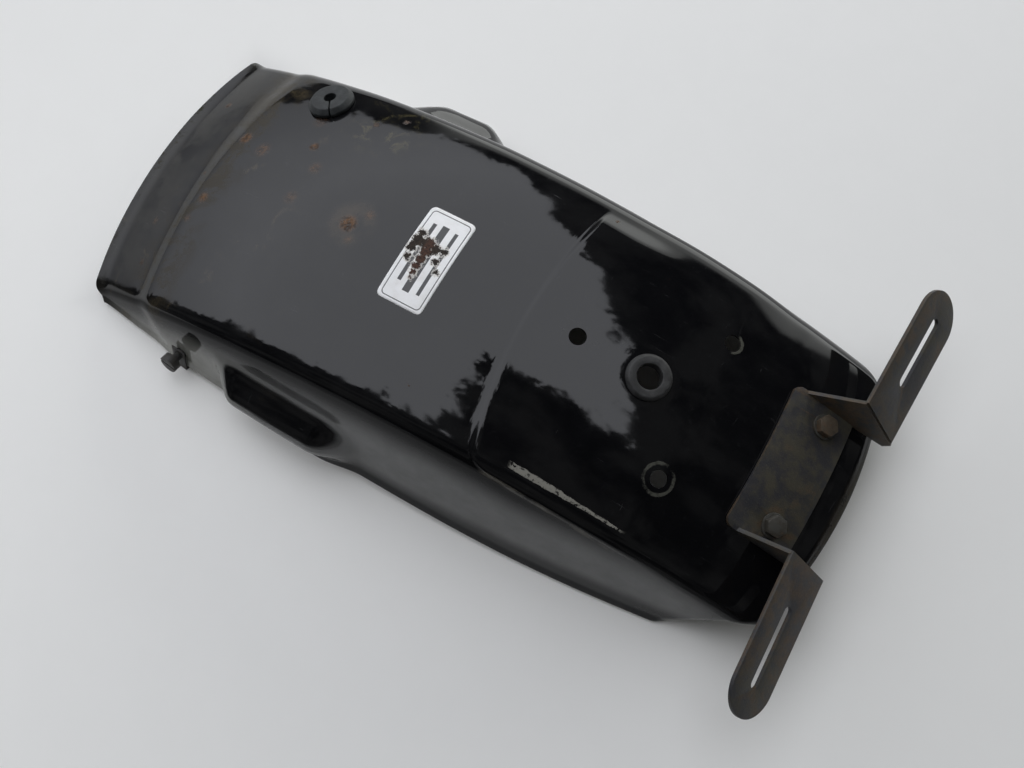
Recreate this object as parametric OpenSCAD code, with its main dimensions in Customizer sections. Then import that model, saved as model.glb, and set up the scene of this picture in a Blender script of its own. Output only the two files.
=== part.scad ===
// Rear fender of a motorcycle: a pressed steel arch with a number plate
// bracket bolted on at the tail. Crown up, +X to the front, +Y to the
// machine's left. The fender stands on the lower edges of its skirts.

/* [Arch] */
// Radius of the crown line seen from the side
arch_r = 438; // [400:1:480]
// Angle from the top of the crown to the front edge
front_angle = 31.6; // [28:0.1:34]
// Angle from the top of the crown to the tail edge
tail_angle = 27.2; // [25:0.1:29]
// Thickness of the pressed sheet
sheet_t = 1.2; // [1:0.1:2]
// Height of the crown top above the level lower edge
edge_drop = 85.5; // [82:0.5:95]
// How far the lower edge arches up between front and tail
edge_rise = 5; // [0:0.5:10]
// Share of the length, from the front, over which it arches up
edge_rise_share = 0.8; // [0.7:0.05:1]
// Forward reach of the tail corners, rounding the tail in plan
tail_round_len = 36; // [20:1:45]
// Length of crown over which the tail rounding builds up
tail_round_zone = 90; // [60:1:110]

/* [Section] */
// Half width at the front
front_half_w = 85.7; // [82:0.1:90]
// Half width in the middle
middle_half_w = 81; // [78:0.1:86]
// Half width at the tail
tail_half_w = 77.5; // [74:0.1:82]
// Radius of the gently curved crown seen from the end
crown_r = 250; // [220:1:400]
// Turn of the crown at which the shoulder's bend is measured
shoulder_turn = 18; // [16:0.5:20]
// Radius of the shoulder between crown and skirt
shoulder_r = 11; // [8:0.5:14]
// Lean of the skirts away from upright, spreading downwards
skirt_lean = 17.3; // [8:0.1:20]

/* [Front edge] */
// Length of the stepped front flange
flange_len = 48; // [30:1:60]
// Depth of the step at the back of that flange
flange_step = 2; // [0.5:0.1:3]
// Length over which the step falls
crease_len = 7; // [4:0.5:10]
// Length of the raised lip at the front edge
lip_len = 9; // [6:0.5:12]
// Height of that lip
lip_rise = 2.4; // [1:0.1:4]

/* [Tail and lower edge] */
// Length of the turned down band round the tail
band_len = 8; // [6:0.5:12]
// Drop of that band
band_drop = 3; // [1:0.1:4]
// Height of the bead along the lower edge
bead_len = 5; // [4:0.5:7]
// Depth of that bead
bead_rise = 1.2; // [0.5:0.1:1.5]

/* [Skirt humps] */
// Outward bulge of the pressed hump on each skirt, at its ridge
hump_rise = 13; // [8:0.5:14]
// Share of that bulge left at the lower edge
hump_foot_share = 0.3; // [0.2:0.05:0.5]
// Height of the hump's top above the lower edge
hump_h = 36; // [30:1:38]
// Height of the hump's ridge above the lower edge
hump_ridge_h = 18; // [14:1:20]
// Distance from the front edge back to the humps
hump_from_front = 92; // [88:1:110]
// Length of the left hump along the arch
left_hump_len = 110; // [80:1:120]
// Length of the right hump along the arch
right_hump_len = 86; // [80:1:120]
// Length over which the left hump's front rises
left_hump_front = 24; // [20:1:40]
// Length over which the right hump's front rises
right_hump_front = 40; // [20:1:40]
// Length over which the humps' rear falls
hump_rear_len = 32; // [25:1:40]

/* [Lamp pad] */
// Distance from the crown top back to the pad's front edge
pad_front = 12.5; // [8:0.5:20]
// Height of the raised pad
pad_rise = 1.2; // [0.5:0.1:2]
// Length over which its front edge rises
pad_edge = 4; // [3:0.5:6]
// Backward sweep of the front edge at the shoulders
pad_sweep = 9; // [5:0.5:12]
// Length of the level pad
pad_len = 95; // [85:1:105]
// Length of its fade into the tail
pad_fade = 38; // [30:1:40]
// Width of the slope along the pad's sides
pad_side = 5; // [3:0.5:8]

/* [Lamp holes] */
// Distance from the crown top back to the centre of the lamp's holes
lamp_back = 88; // [86:0.5:90]
// Diameter of the circle through the three lamp holes
lamp_circle_d = 92.4; // [88:0.2:94]
// Diameter of each lamp hole
lamp_hole_d = 9; // [7:0.5:10]
// Depth below the pad's middle of the plane that crosses all three holes
lamp_plane_deep = 3.7; // [3.3:0.1:4]
// Distance from that centre forward to the cable hole
wire_ahead = 6; // [4:0.5:8]

/* [Lamp cable grommet] */
// Outer diameter
wire_flange_d = 24; // [22:0.5:26]
// Diameter of the waist in the sheet
wire_waist_d = 18; // [17:0.5:19]
// Diameter of the bore
wire_bore_d = 13; // [11:0.5:14]
// Thickness of the outer flange
wire_top_t = 3; // [2:0.5:4]
// Thickness of the flange inside the fender
wire_low_t = 2; // [2:0.5:3]

/* [Slit grommet] */
// Distance from the front edge back to the grommet
slit_from_front = 87.6; // [86:0.2:90]
// Distance from the centre line, along the crown, to the grommet
slit_side = 65; // [62:0.5:66]
// Outer diameter
slit_flange_d = 26; // [24:0.5:27]
// Diameter of the waist in the sheet
slit_waist_d = 17; // [16:0.5:18]
// Diameter of the bore
slit_bore_d = 7; // [6:0.5:8]
// Outer diameter of the flange inside the fender
slit_low_d = 21; // [20:0.5:22]
// Thickness of the outer flange
slit_top_t = 4.5; // [3:0.5:5]
// Thickness of the flange inside the fender
slit_low_t = 2.5; // [2:0.5:3]
// Width of the cut through one side of the rubber
slit_w = 0.8; // [0.6:0.1:1.2]

/* [Plate bracket] */
// Distance from the tail edge forward to the bracket's bolts
bolt_from_tail = 34.4; // [32:0.2:38]
// Distance from the centre line, along the crown, to each bolt
bolt_side = 28.8; // [26:0.2:31]
// Thickness of the bracket steel
plate_t = 2; // [1.5:0.1:2.5]
// Half width of the base plate
plate_half_w = 41; // [39:0.5:43]
// Reach of the base plate ahead of the bolts
plate_ahead = 23; // [20:0.5:26]
// Reach of the base plate behind the bolts
plate_behind = 15; // [12:0.5:17]
// Rounding of the base plate's corners
plate_corner_r = 5; // [3:0.5:7]
// Height of the upright's top corner
upright_h = 23; // [20:0.5:28]
// Place of that corner behind the bolts
upright_top_back = 5.5; // [2:0.5:8]
// Height of the upright's rear corner
upright_rear_h = 7.5; // [4:0.5:8]
// Place of that corner behind the bolts
upright_rear_back = 36.5; // [35:0.5:40]
// Outward lean of the right upright, bent in use
right_lean = 15; // [0:0.5:16]
// Distance from the centre line to the tip of the left ear
ear_tip = 119.5; // [112:0.5:125]
// Width of the ears, just under the length of their uprights' slope
strip_w = 33.2; // [30:0.2:33.6]
// Backward sweep of both ears
ear_sweep = 3.3; // [0:0.1:5]
// Inner end of the slot, from the centre line
slot_in = 61; // [58:0.5:64]
// Outer end of the slot, from the centre line
slot_out = 104.5; // [100:0.5:107]
// Width of the slot
slot_w = 6; // [5:0.5:7]

/* [Bolts] */
// Shank diameter of the bolts
bolt_d = 6; // [5:0.5:6]
// Diameter of their clearance holes
bolt_hole_d = 6.6; // [6.4:0.1:7]
// Width across flats of heads and nuts
hex_af = 10; // [9:0.5:11]
// Thickness of the heads
head_h = 4; // [3.5:0.1:5]
// Thickness of the nuts
nut_h = 5; // [4:0.1:6]
// Thickness of the washers
washer_t = 1.2; // [1:0.1:1.6]
// Outer diameter of the washers
washer_d = 13; // [12:0.5:14]
// Length of shank below the nut
bolt_end = 3; // [1:0.5:6]

/* [Edge clip] */
// Distance from the front edge back to the clip
clip_from_front = 62.6; // [58:0.2:66]
// Height of the screw above the lower edge, along the skirt
clip_up = 9; // [8.5:0.5:11]
// Width of the clip
clip_w = 9; // [8:0.5:13]
// Thickness of the clip
clip_t = 0.9; // [0.8:0.1:1.2]
// Reach of the clip above the screw
clip_reach = 5; // [4.5:0.5:8]
// Space kept between the clip's tongue and the lower edge
clip_hang = 1.6; // [1.2:0.1:2]
// Diameter of the clip screw
screw_d = 5; // [4:0.5:5]
// Diameter of its hole in the skirt
screw_hole_d = 7; // [6:0.5:8]
// Gap between clip and screw head, the screw being part unscrewed
screw_neck = 4; // [2:0.5:6]
// Diameter of the screw head
screw_head_d = 10.6; // [9:0.2:12]
// Thickness of the screw head
screw_head_h = 4.5; // [4:0.5:6]
// Width of the slot in the head
screw_slot_w = 1.4; // [1:0.1:2]
// Depth of the slot in the head
screw_slot_deep = 1.6; // [1:0.1:2.5]
// Length of the threaded collar inside
collar_h = 3; // [2:0.5:4]
// Length of the shank beyond that collar
screw_end = 4; // [2:0.5:8]

/* [Hidden] */
$fn = 64;
// Running gap between pieces that bear on each other
seat_gap = 0.06;
// Gap under pieces that bear on the curved inner face
inner_gap = 0.12;
// Overrun of every cut
cut_over = 5;
// One degree of arch, as a length on the crown line
deg_len = arch_r * PI / 180;
front_s = -front_angle * deg_len;
tail_s = tail_angle * deg_len;
slit_s = front_s + slit_from_front;
clip_s = front_s + clip_from_front;
hump_s = front_s + hump_from_front;
bolt_back = tail_s - bolt_from_tail;
// Part of each skirt column count that lies above the bead's zone
skirt_upper_share = 0.8;
skirt_steps = 7;
bead_shares = [0.25, 0.55, 0.8, 1];

function clip01(x) = min(1, max(0, x));
function ease(x) = clip01(x) * clip01(x) * (3 - 2 * clip01(x));
function rise_fall(x) = ease(x) * ease(2 - x);
function steps(a, b, n) = [for (k = [0:n - 1]) a + (b - a) * k / n];

// Rows along the crown line: front lip, flange, crease, plain crown,
// pad edge, pad and bracket seat, tail band.
rows = concat(
    steps(front_s, front_s + lip_len, 3),
    steps(front_s + lip_len, front_s + flange_len - crease_len, 4),
    steps(front_s + flange_len - crease_len, front_s + flange_len, 3),
    steps(front_s + flange_len, pad_front, 17),
    steps(pad_front, pad_front + pad_edge, 3),
    steps(pad_front + pad_edge, tail_s - band_len, 17),
    steps(tail_s - band_len, tail_s, 4),
    [tail_s]);

// Columns across one side: 0 to 1 over the crown, 1 to 2 round the
// shoulder, 2 to 3 down the skirt to the lower edge.
half_columns = concat(
    [for (k = [1:9]) k / 9],
    [for (k = [1:6]) 1 + k / 6],
    [for (k = [1:skirt_steps]) 2 + skirt_upper_share * k / skirt_steps],
    [for (b = bead_shares) 2 + skirt_upper_share + (1 - skirt_upper_share) * b]);
columns = concat(
    [for (k = [len(half_columns) - 1:-1:0]) -half_columns[k]], [0], half_columns);
last_row = len(rows) - 1;
last_col = len(columns) - 1;

// Place along the arch of a row at a column, rounding the tail in plan
// and sweeping the pad's front edge.
function shoulder_share(c) = abs(c) / 3;
function tail_pull(s, c) = tail_round_len * pow(shoulder_share(c), 1.75)
    * ease((s - tail_s + tail_round_zone) / tail_round_zone);
function pad_bow(s, c) = pad_sweep * pow(min(1, abs(c)), 2)
    * (1 - clip01(abs(c) - 2)) * ease(1 - abs(s - pad_front) / tail_round_zone);
function place_s(s, c) = s - tail_pull(s, c) + pad_bow(s, c);

function share_at(s) = (s - front_s) / (tail_s - front_s);
function half_w(s) = front_half_w * pow(1 - share_at(s), 2)
    + 2 * middle_half_w * share_at(s) * (1 - share_at(s))
    + tail_half_w * pow(share_at(s), 2);
skirt_face = 90 - skirt_lean;
function crown_half(s) = half_w(s) - shoulder_r * (sin(skirt_face) - sin(shoulder_turn));
function crown_turn(s) = asin(crown_half(s) / crown_r);
function shoulder_low(s) = crown_r * (cos(crown_turn(s)) - 1)
    - shoulder_r * (cos(crown_turn(s)) - cos(skirt_face));
function edge_low(s) = (arch_r - edge_drop + edge_rise
    * pow(sin(180 * clip01(share_at(s) / edge_rise_share)), 2)) / cos(s / deg_len) - arch_r;
function skirt_len(s) = max(bead_len, (shoulder_low(s) - edge_low(s)) / cos(skirt_lean));

// Turn of the surface from the radial direction at a column
function face_turn(s, c) =
    c <= 1 ? asin(c * crown_half(s) / crown_r)
    : c <= 2 ? crown_turn(s) + (skirt_face - crown_turn(s)) * (c - 1)
    : skirt_face;
function side_y(s, c) =
    c <= 1 ? c * crown_half(s)
    : c <= 2 ? crown_half(s) + shoulder_r * (sin(face_turn(s, c)) - sin(crown_turn(s)))
    : side_y(s, 2) + skirt_len(s) * (c - 2) * sin(skirt_lean);
function side_n(s, c) =
    c <= 1 ? crown_r * (cos(face_turn(s, c)) - 1)
    : c <= 2 ? side_n(s, 1) - shoulder_r * (cos(crown_turn(s)) - cos(face_turn(s, c)))
    : side_n(s, 2) - skirt_len(s) * (c - 2) * cos(skirt_lean);

// Pressed features, as heights out of the plain surface
function front_relief(s) = -flange_step * ease((front_s + flange_len - s) / crease_len)
    + lip_rise * pow(clip01((front_s + lip_len - s) / lip_len), 2);
function tail_relief(s) = -band_drop * pow(clip01((s - tail_s + band_len) / band_len), 2);
function bead_relief(s, c) = c <= 2 ? 0
    : bead_rise * ease(1 - skirt_len(s) * (3 - c) / bead_len);
function hump_along(p, front_len, len) = ease((p - hump_s) / front_len)
    * ease((hump_s + len - p) / hump_rear_len);
function hump_across(up) = (hump_foot_share + (1 - hump_foot_share) * ease(up / hump_ridge_h))
    * ease((hump_h - up) / (hump_h - hump_ridge_h));
function hump_relief(s, p, c, side) = c <= 2 ? 0
    : hump_rise * hump_across(skirt_len(s) * (3 - c))
    * (side > 0 ? hump_along(p, left_hump_front, left_hump_len)
    : hump_along(p, right_hump_front, right_hump_len));
function pad_relief(s, c) = pad_rise * ease((s - pad_front) / pad_edge)
    * ease((pad_front + pad_len + pad_fade - s) / pad_fade)
    * ease((2 - c) * shoulder_r / pad_side);
function seat_relief(p, c) = (arch_r / cos((p - bolt_back) / deg_len) - arch_r)
    * ease((2 * plate_behind - abs(p - bolt_back)) / plate_corner_r) * ease(2 - c);
function relief(s, p, c, side) = front_relief(s) + tail_relief(s) + bead_relief(s, c)
    + hump_relief(s, p, c, side) + pad_relief(s, c) + seat_relief(p, c);

function arch_point(p, y, n) = [-(arch_r + n) * sin(p / deg_len), y,
    (arch_r + n) * cos(p / deg_len) - arch_r];
function relief_point(s, p, c, side, h) = arch_point(p,
    side * (side_y(p, c) + h * sin(face_turn(p, c))),
    side_n(p, c) + h * cos(face_turn(p, c)));
function side_of(c) = c < 0 ? -1 : 1;
function skin_point(s, c) = relief_point(s, place_s(s, c), abs(c), side_of(c),
    relief(s, place_s(s, c), abs(c), side_of(c)));

skin = [for (s = rows) [for (c = columns) skin_point(s, c)]];
function unit(v) = v / norm(v);
function skin_normal(i, j) = unit(cross(
    skin[i][min(j + 1, last_col)] - skin[i][max(j - 1, 0)],
    skin[min(i + 1, last_row)][j] - skin[max(i - 1, 0)][j]));
lining = [for (i = [0:last_row]) [for (j = [0:last_col])
    skin[i][j] - sheet_t * skin_normal(i, j)]];

// Numbering of the points: the skin's grid first, then the lining's
cols = last_col + 1;
function out_id(i, j) = i * cols + j;
function in_id(i, j) = (last_row + 1) * cols + i * cols + j;
function quad(a, b, c, d) = [[a, c, b], [a, d, c]];
skin_faces = [for (i = [0:last_row - 1]) for (j = [0:last_col - 1])
    each quad(out_id(i, j), out_id(i, j + 1), out_id(i + 1, j + 1), out_id(i + 1, j))];
lining_faces = [for (i = [0:last_row - 1]) for (j = [0:last_col - 1])
    each quad(in_id(i, j), in_id(i + 1, j), in_id(i + 1, j + 1), in_id(i, j + 1))];
end_faces = [for (j = [0:last_col - 1]) each concat(
    quad(out_id(0, j), in_id(0, j), in_id(0, j + 1), out_id(0, j + 1)),
    quad(out_id(last_row, j), out_id(last_row, j + 1),
        in_id(last_row, j + 1), in_id(last_row, j)))];
side_faces = [for (i = [0:last_row - 1]) each concat(
    quad(out_id(i, 0), out_id(i + 1, 0), in_id(i + 1, 0), in_id(i, 0)),
    quad(out_id(i, last_col), in_id(i, last_col),
        in_id(i + 1, last_col), out_id(i + 1, last_col)))];

lamp_low = arch_r + pad_rise - lamp_plane_deep;
// The origin is the centre of the lamp's holes, in the plane that crosses them
module from_lamp() {
    translate([lamp_low * sin(lamp_back / deg_len), 0, arch_r - lamp_low * cos(lamp_back / deg_len)])
        children();
}
// Local frame on the arch: z out along the radius, x forwards
module on_arch(s, height) {
    translate([0, 0, -arch_r])
        rotate([0, -s / deg_len, 0])
            translate([0, 0, arch_r + height])
                children();
}
// Local frame on the cambered crown, turned to one side of its centre
module on_crown(s, side_len, side) {
    on_arch(s, -crown_r)
        rotate([-side * side_len / crown_r * 180 / PI, 0, 0])
            translate([0, 0, crown_r])
                children();
}
// Local frame at the clip screw: z out of the left skirt, y down to the edge
module on_skirt() {
    on_arch(clip_s, side_n(clip_s, 3) + clip_up * cos(skirt_lean))
        translate([0, side_y(clip_s, 3) - clip_up * sin(skirt_lean), 0])
            rotate([-skirt_face, 0, 0])
                rotate([0, 0, atan2(sin(clip_s / deg_len) * cos(skirt_lean), cos(clip_s / deg_len))])
                    children();
}

module hex_prism(af, h) {
    linear_extrude(height = h)
        polygon([for (k = [0:5]) af / 2 / cos(30) * [cos(60 * k), sin(60 * k)]]);
}
module ring(outer_d, bore_d, h) {
    difference() {
        cylinder(d = outer_d, h = h);
        translate([0, 0, -cut_over])
            cylinder(d = bore_d, h = h + 2 * cut_over);
    }
}
module hole(d) {
    translate([0, 0, -2 * cut_over])
        cylinder(d = d, h = 4 * cut_over);
}

module fender_shell() {
    color([0.05, 0.05, 0.06])
        from_lamp()
            difference() {
                polyhedron(points = concat([for (r = skin) each r], [for (r = lining) each r]),
                    faces = concat(skin_faces, lining_faces, end_faces, side_faces));
                lamp_hole_cuts();
                on_arch(lamp_back - wire_ahead, 0)
                    hole(wire_waist_d + seat_gap);
                on_crown(slit_s, slit_side, -1)
                    hole(slit_waist_d + seat_gap);
                for (side = [-1, 1])
                    on_crown(bolt_back, bolt_side, side)
                        hole(bolt_hole_d);
                on_skirt()
                    hole(screw_hole_d);
            }
}
module lamp_hole_cuts() {
    on_arch(lamp_back, 0)
        for (k = [0:2])
            rotate([0, 0, 120 * k])
                translate([lamp_circle_d / 2, 0, 0])
                    hole(lamp_hole_d);
}

// Rubber ring with a waist that holds the edge of a hole
module grommet(flange_d, low_d, waist_d, bore_d, top_t, low_t, base, grip) {
    difference() {
        union() {
            translate([0, 0, base + seat_gap])
                rotate_extrude()
                    polygon([[0, 0], [flange_d / 2, 0], [flange_d / 2, top_t * 0.4],
                        [flange_d / 2 - top_t * 0.5, top_t], [0, top_t]]);
            translate([0, 0, base - grip - inner_gap])
                cylinder(d = waist_d - seat_gap, h = grip + 2 * inner_gap);
            translate([0, 0, base - grip - inner_gap - low_t])
                cylinder(d = low_d, h = low_t);
        }
        hole(bore_d);
    }
}

module lamp_cable_grommet() {
    color([0.08, 0.08, 0.08])
        from_lamp()
            on_arch(lamp_back - wire_ahead, 0)
                grommet(wire_flange_d, wire_flange_d - wire_top_t, wire_waist_d, wire_bore_d,
                    wire_top_t, wire_low_t, pad_rise, sheet_t + sheet_t / 4);
}

module slit_grommet() {
    color([0.12, 0.13, 0.13])
        from_lamp()
            on_crown(slit_s, slit_side, -1)
                difference() {
                    grommet(slit_flange_d, slit_low_d, slit_waist_d, slit_bore_d,
                        slit_top_t, slit_low_t, 0, sheet_t + sheet_t / 2);
                    translate([-slit_w / 2, -slit_flange_d, -2 * cut_over])
                        cube([slit_w, slit_flange_d, 4 * cut_over]);
                }
}

plate_out = crown_r + seat_gap;
foot_in = plate_t / 2;
// Side view of an upright: x back from the bolts, y out from the seat
module upright_outline() {
    polygon([[-plate_ahead + plate_corner_r + foot_in, 0],
        [upright_top_back, upright_h - plate_t / 2],
        [upright_rear_back, upright_rear_h - plate_t / 2],
        [upright_rear_back - plate_t, plate_t], [plate_behind - foot_in, 0]]);
}
ear_slope = atan2(upright_h - upright_rear_h, upright_rear_back - upright_top_back);
ear_w = norm([upright_h - upright_rear_h, upright_rear_back - upright_top_back]);
upright_y = plate_half_w - plate_t;
seat_fall = crown_r - sqrt(crown_r * crown_r - upright_y * upright_y);
right_shift = upright_h * sin(right_lean);
// One ear seen from above: x down its slope, y out from its upright
module ear_outline(lean, shift, bury) {
    front_y = upright_y + bury + upright_h * sin(lean);
    rear_y = upright_y + bury + upright_rear_h * sin(lean);
    difference() {
        translate([ear_w / 2, plate_half_w + shift])
            rotate([0, 0, -ear_sweep])
                ear_strip();
        polygon([[-ear_w, 2 * front_y - rear_y], [2 * ear_w, 2 * rear_y - front_y],
            [2 * ear_w, -ear_w], [-ear_w, -ear_w]]);
    }
}
module ear_strip() {
    tip_y = ear_tip - plate_half_w - strip_w / 2;
    near_y = slot_in - plate_half_w + slot_w / 2;
    far_y = slot_out - plate_half_w - slot_w / 2;
    difference() {
        union() {
            translate([-strip_w / 2, -strip_w / 2])
                square([strip_w, strip_w / 2 + tip_y]);
            translate([0, tip_y])
                circle(d = strip_w);
        }
        translate([-slot_w / 2, near_y])
            square([slot_w, far_y - near_y]);
        translate([0, near_y])
            circle(d = slot_w);
        translate([0, far_y])
            circle(d = slot_w);
    }
}
module plate_outline() {
    difference() {
        translate([-plate_ahead, -plate_half_w])
            square([plate_ahead + plate_behind, 2 * plate_half_w]);
        for (side = [-1, 1])
            translate([-plate_ahead, side * plate_half_w])
                difference() {
                    square([2 * plate_corner_r, 2 * plate_corner_r], center = true);
                    translate([plate_corner_r, -side * plate_corner_r])
                        circle(r = plate_corner_r);
                }
    }
}
// The bracket is drawn in the bolts' frame with x pointing back
module plate_bracket() {
    color([0.32, 0.31, 0.24])
        from_lamp()
            on_arch(bolt_back, 0)
                mirror([1, 0, 0])
                    difference() {
                        union() {
                            base_plate();
                            upright(1, 0);
                            ear(1, 0, 0, 0);
                            upright(-1, right_lean);
                            ear(-1, right_lean, right_shift, plate_t / 2);
                        }
                        for (side = [-1, 1])
                            translate([0, 0, -crown_r])
                                rotate([-side * bolt_side / crown_r * 180 / PI, 0, 0])
                                    translate([0, 0, crown_r])
                                        hole(bolt_hole_d);
                    }
}
module base_plate() {
    difference() {
        intersection() {
            translate([-plate_ahead, 0, -crown_r])
                rotate([0, 90, 0])
                    cylinder(r = plate_out + plate_t, h = plate_ahead + plate_behind, $fn = 360);
            translate([0, 0, -2 * cut_over])
                linear_extrude(height = 4 * cut_over)
                    plate_outline();
        }
        translate([-plate_ahead - cut_over, 0, -crown_r])
            rotate([0, 90, 0])
                cylinder(r = plate_out, h = plate_ahead + plate_behind + 2 * cut_over, $fn = 360);
    }
}
module upright(side, lean) {
    translate([0, side * plate_half_w, 2 * seat_gap - seat_fall])
        rotate([-side * lean, 0, 0])
            translate([0, side > 0 ? 0 : plate_t, 0])
                rotate([90, 0, 0])
                    linear_extrude(height = plate_t)
                        upright_outline();
}
module ear(side, lean, shift, bury) {
    on_ear()
        linear_extrude(height = plate_t)
            mirror([0, side > 0 ? 0 : 1])
                ear_outline(lean, shift, bury);
}
// Local frame of both ears: x down their slope, z out of them
module on_ear() {
    translate([upright_top_back, 0, upright_h - seat_fall])
        rotate([0, ear_slope, 0])
            translate([0, 0, -plate_t])
                children();
}

// Bolt stack: the bracket lies on the crown, washers and heads on it
stack_out = plate_t + 2 * seat_gap;
stack_in = -sheet_t - inner_gap;
stack_all = stack_out - stack_in + 2 * washer_t + seat_gap;
module on_bolt(side) {
    from_lamp()
        on_crown(bolt_back, bolt_side, side)
            children();
}
module bracket_bolt(side) {
    on_bolt(side) {
        translate([0, 0, stack_out + washer_t + seat_gap])
            hex_prism(hex_af, head_h);
        translate([0, 0, stack_in - washer_t - nut_h - bolt_end])
            cylinder(d = bolt_d, h = nut_h + bolt_end + stack_all + head_h / 2);
    }
}
module bolt_washer(side) {
    on_bolt(side)
        translate([0, 0, stack_out])
            ring(washer_d, bolt_hole_d, washer_t);
}
module nut_washer(side) {
    on_bolt(side)
        translate([0, 0, stack_in - washer_t])
            ring(washer_d, bolt_hole_d, washer_t);
}
module bracket_nut(side) {
    on_bolt(side)
        translate([0, 0, stack_in - washer_t - seat_gap - nut_h])
            difference() {
                hex_prism(hex_af, nut_h);
                hole(bolt_d + seat_gap);
            }
}
module bracket_bolt_left() { color([0.3, 0.29, 0.26]) bracket_bolt(1); }
module bracket_bolt_right() { color([0.38, 0.24, 0.15]) bracket_bolt(-1); }
module bolt_washer_left() { color([0.33, 0.31, 0.27]) bolt_washer(1); }
module bolt_washer_right() { color([0.33, 0.31, 0.27]) bolt_washer(-1); }
module nut_washer_left() { color([0.33, 0.31, 0.27]) nut_washer(1); }
module nut_washer_right() { color([0.33, 0.31, 0.27]) nut_washer(-1); }
module bracket_nut_left() { color([0.3, 0.28, 0.24]) bracket_nut(1); }
module bracket_nut_right() { color([0.3, 0.28, 0.24]) bracket_nut(-1); }

clip_out = bead_rise + 2 * inner_gap;
clip_in = -sheet_t - 3 * inner_gap;
grip_all = clip_out - clip_in + 2 * clip_t;
clip_foot = clip_up + clip_hang;
// Spring clip folded round the lower edge, seen from its side
module edge_clip() {
    color([0.12, 0.12, 0.12])
        from_lamp()
            on_skirt()
                difference() {
                    union() {
                        translate([-clip_w / 2, -clip_reach, clip_out])
                            cube([clip_w, clip_reach + clip_foot, clip_t]);
                        translate([-clip_w / 2, -clip_reach, clip_in - clip_t])
                            cube([clip_w, clip_reach + clip_foot, clip_t]);
                        translate([-clip_w / 2, clip_foot, clip_in - clip_t])
                            cube([clip_w, clip_t, clip_out - clip_in + 2 * clip_t]);
                        translate([0, 0, clip_in - clip_t - collar_h])
                            cylinder(d = screw_hole_d, h = collar_h + clip_t / 2);
                    }
                    hole(screw_d + seat_gap);
                }
}
module clip_screw() {
    color([0.16, 0.16, 0.15])
        from_lamp()
            on_skirt() {
                translate([0, 0, clip_in - clip_t - collar_h - screw_end])
                    cylinder(d = screw_d, h = screw_end + collar_h + grip_all + screw_neck + clip_t);
                translate([0, 0, clip_out + clip_t + screw_neck])
                    difference() {
                        cylinder(d = screw_head_d, h = screw_head_h);
                        translate([-screw_head_d, -screw_slot_w / 2, screw_head_h - screw_slot_deep])
                            cube([2 * screw_head_d, screw_slot_w, 2 * screw_slot_deep]);
                    }
            }
}

fender_shell();
lamp_cable_grommet();
slit_grommet();
plate_bracket();
bracket_bolt_left();
bracket_bolt_right();
bolt_washer_left();
bolt_washer_right();
nut_washer_left();
nut_washer_right();
bracket_nut_left();
bracket_nut_right();
edge_clip();
clip_screw();
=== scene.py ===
"""Looks of the motorcycle rear fender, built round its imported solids. Metres, +X front, +Y left."""
import math

import bpy
import bmesh
import numpy as np
from mathutils import Matrix, Vector


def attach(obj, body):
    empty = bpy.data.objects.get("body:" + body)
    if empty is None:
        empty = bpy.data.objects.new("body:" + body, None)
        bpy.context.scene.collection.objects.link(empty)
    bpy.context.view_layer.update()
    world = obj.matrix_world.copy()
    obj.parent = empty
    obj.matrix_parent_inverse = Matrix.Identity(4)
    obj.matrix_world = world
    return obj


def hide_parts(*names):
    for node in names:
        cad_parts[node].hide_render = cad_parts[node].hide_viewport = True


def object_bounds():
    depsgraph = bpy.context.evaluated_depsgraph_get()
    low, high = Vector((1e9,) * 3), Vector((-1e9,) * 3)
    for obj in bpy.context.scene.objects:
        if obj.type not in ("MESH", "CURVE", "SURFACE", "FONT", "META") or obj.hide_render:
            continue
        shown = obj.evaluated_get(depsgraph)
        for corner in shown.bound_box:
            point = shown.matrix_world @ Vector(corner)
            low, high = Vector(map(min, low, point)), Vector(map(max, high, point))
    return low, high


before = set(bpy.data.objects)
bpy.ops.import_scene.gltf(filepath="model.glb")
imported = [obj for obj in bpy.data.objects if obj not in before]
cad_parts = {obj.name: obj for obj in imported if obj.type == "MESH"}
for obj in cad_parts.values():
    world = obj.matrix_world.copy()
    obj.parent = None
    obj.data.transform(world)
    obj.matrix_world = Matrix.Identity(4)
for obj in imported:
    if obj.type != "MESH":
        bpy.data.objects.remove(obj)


def plain(box):
    return [[float(v) for v in corner] for corner in box]


cad_box = plain(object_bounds())
MM = 0.001
FLOOR_GAP = 0.0002
FLOOR = cad_box[0][2] - FLOOR_GAP

# Sizes of the shell, in mm, as in the part's source but where a comment says otherwise. s is the arc
# length along the crown from its top, growing towards the tail. c is the column: 0 at the crown's
# middle, 1 where the shoulder starts, 2 where the skirt starts and 3 at the skirt's lower edge.
R = 438.0
DEG = R * math.pi / 180
FRONT, TAIL = 31.6, 27.2
S0, S1 = -FRONT * DEG, TAIL * DEG
SHEET = 1.2
# depth of the lower edge under the crown, its rise, and the share of the length that the rise takes
DROP, RISE, RISE_SHARE = 85.5, 5.0, 0.8
# how far the tail's corners are pulled forward, over what length, and how sharply
ROUND_LEN, ROUND_ZONE, ROUND_POWER = 36.0, 90.0, 1.75
# half widths at the front and the tail, and the control value between them
W_FRONT, W_MID, W_TAIL = 85.7, 81.0, 77.5
CROWN_R, SHOULDER_R = 250.0, 11.0
# lean of the skirts, and slope of the crown where the shoulder is taken to start
LEAN, CROWN_EDGE = math.radians(17.3), math.radians(18)
FACE = math.pi / 2 - LEAN
SHOULDER_OUT = SHOULDER_R * (math.sin(FACE) - math.sin(CROWN_EDGE))

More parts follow.
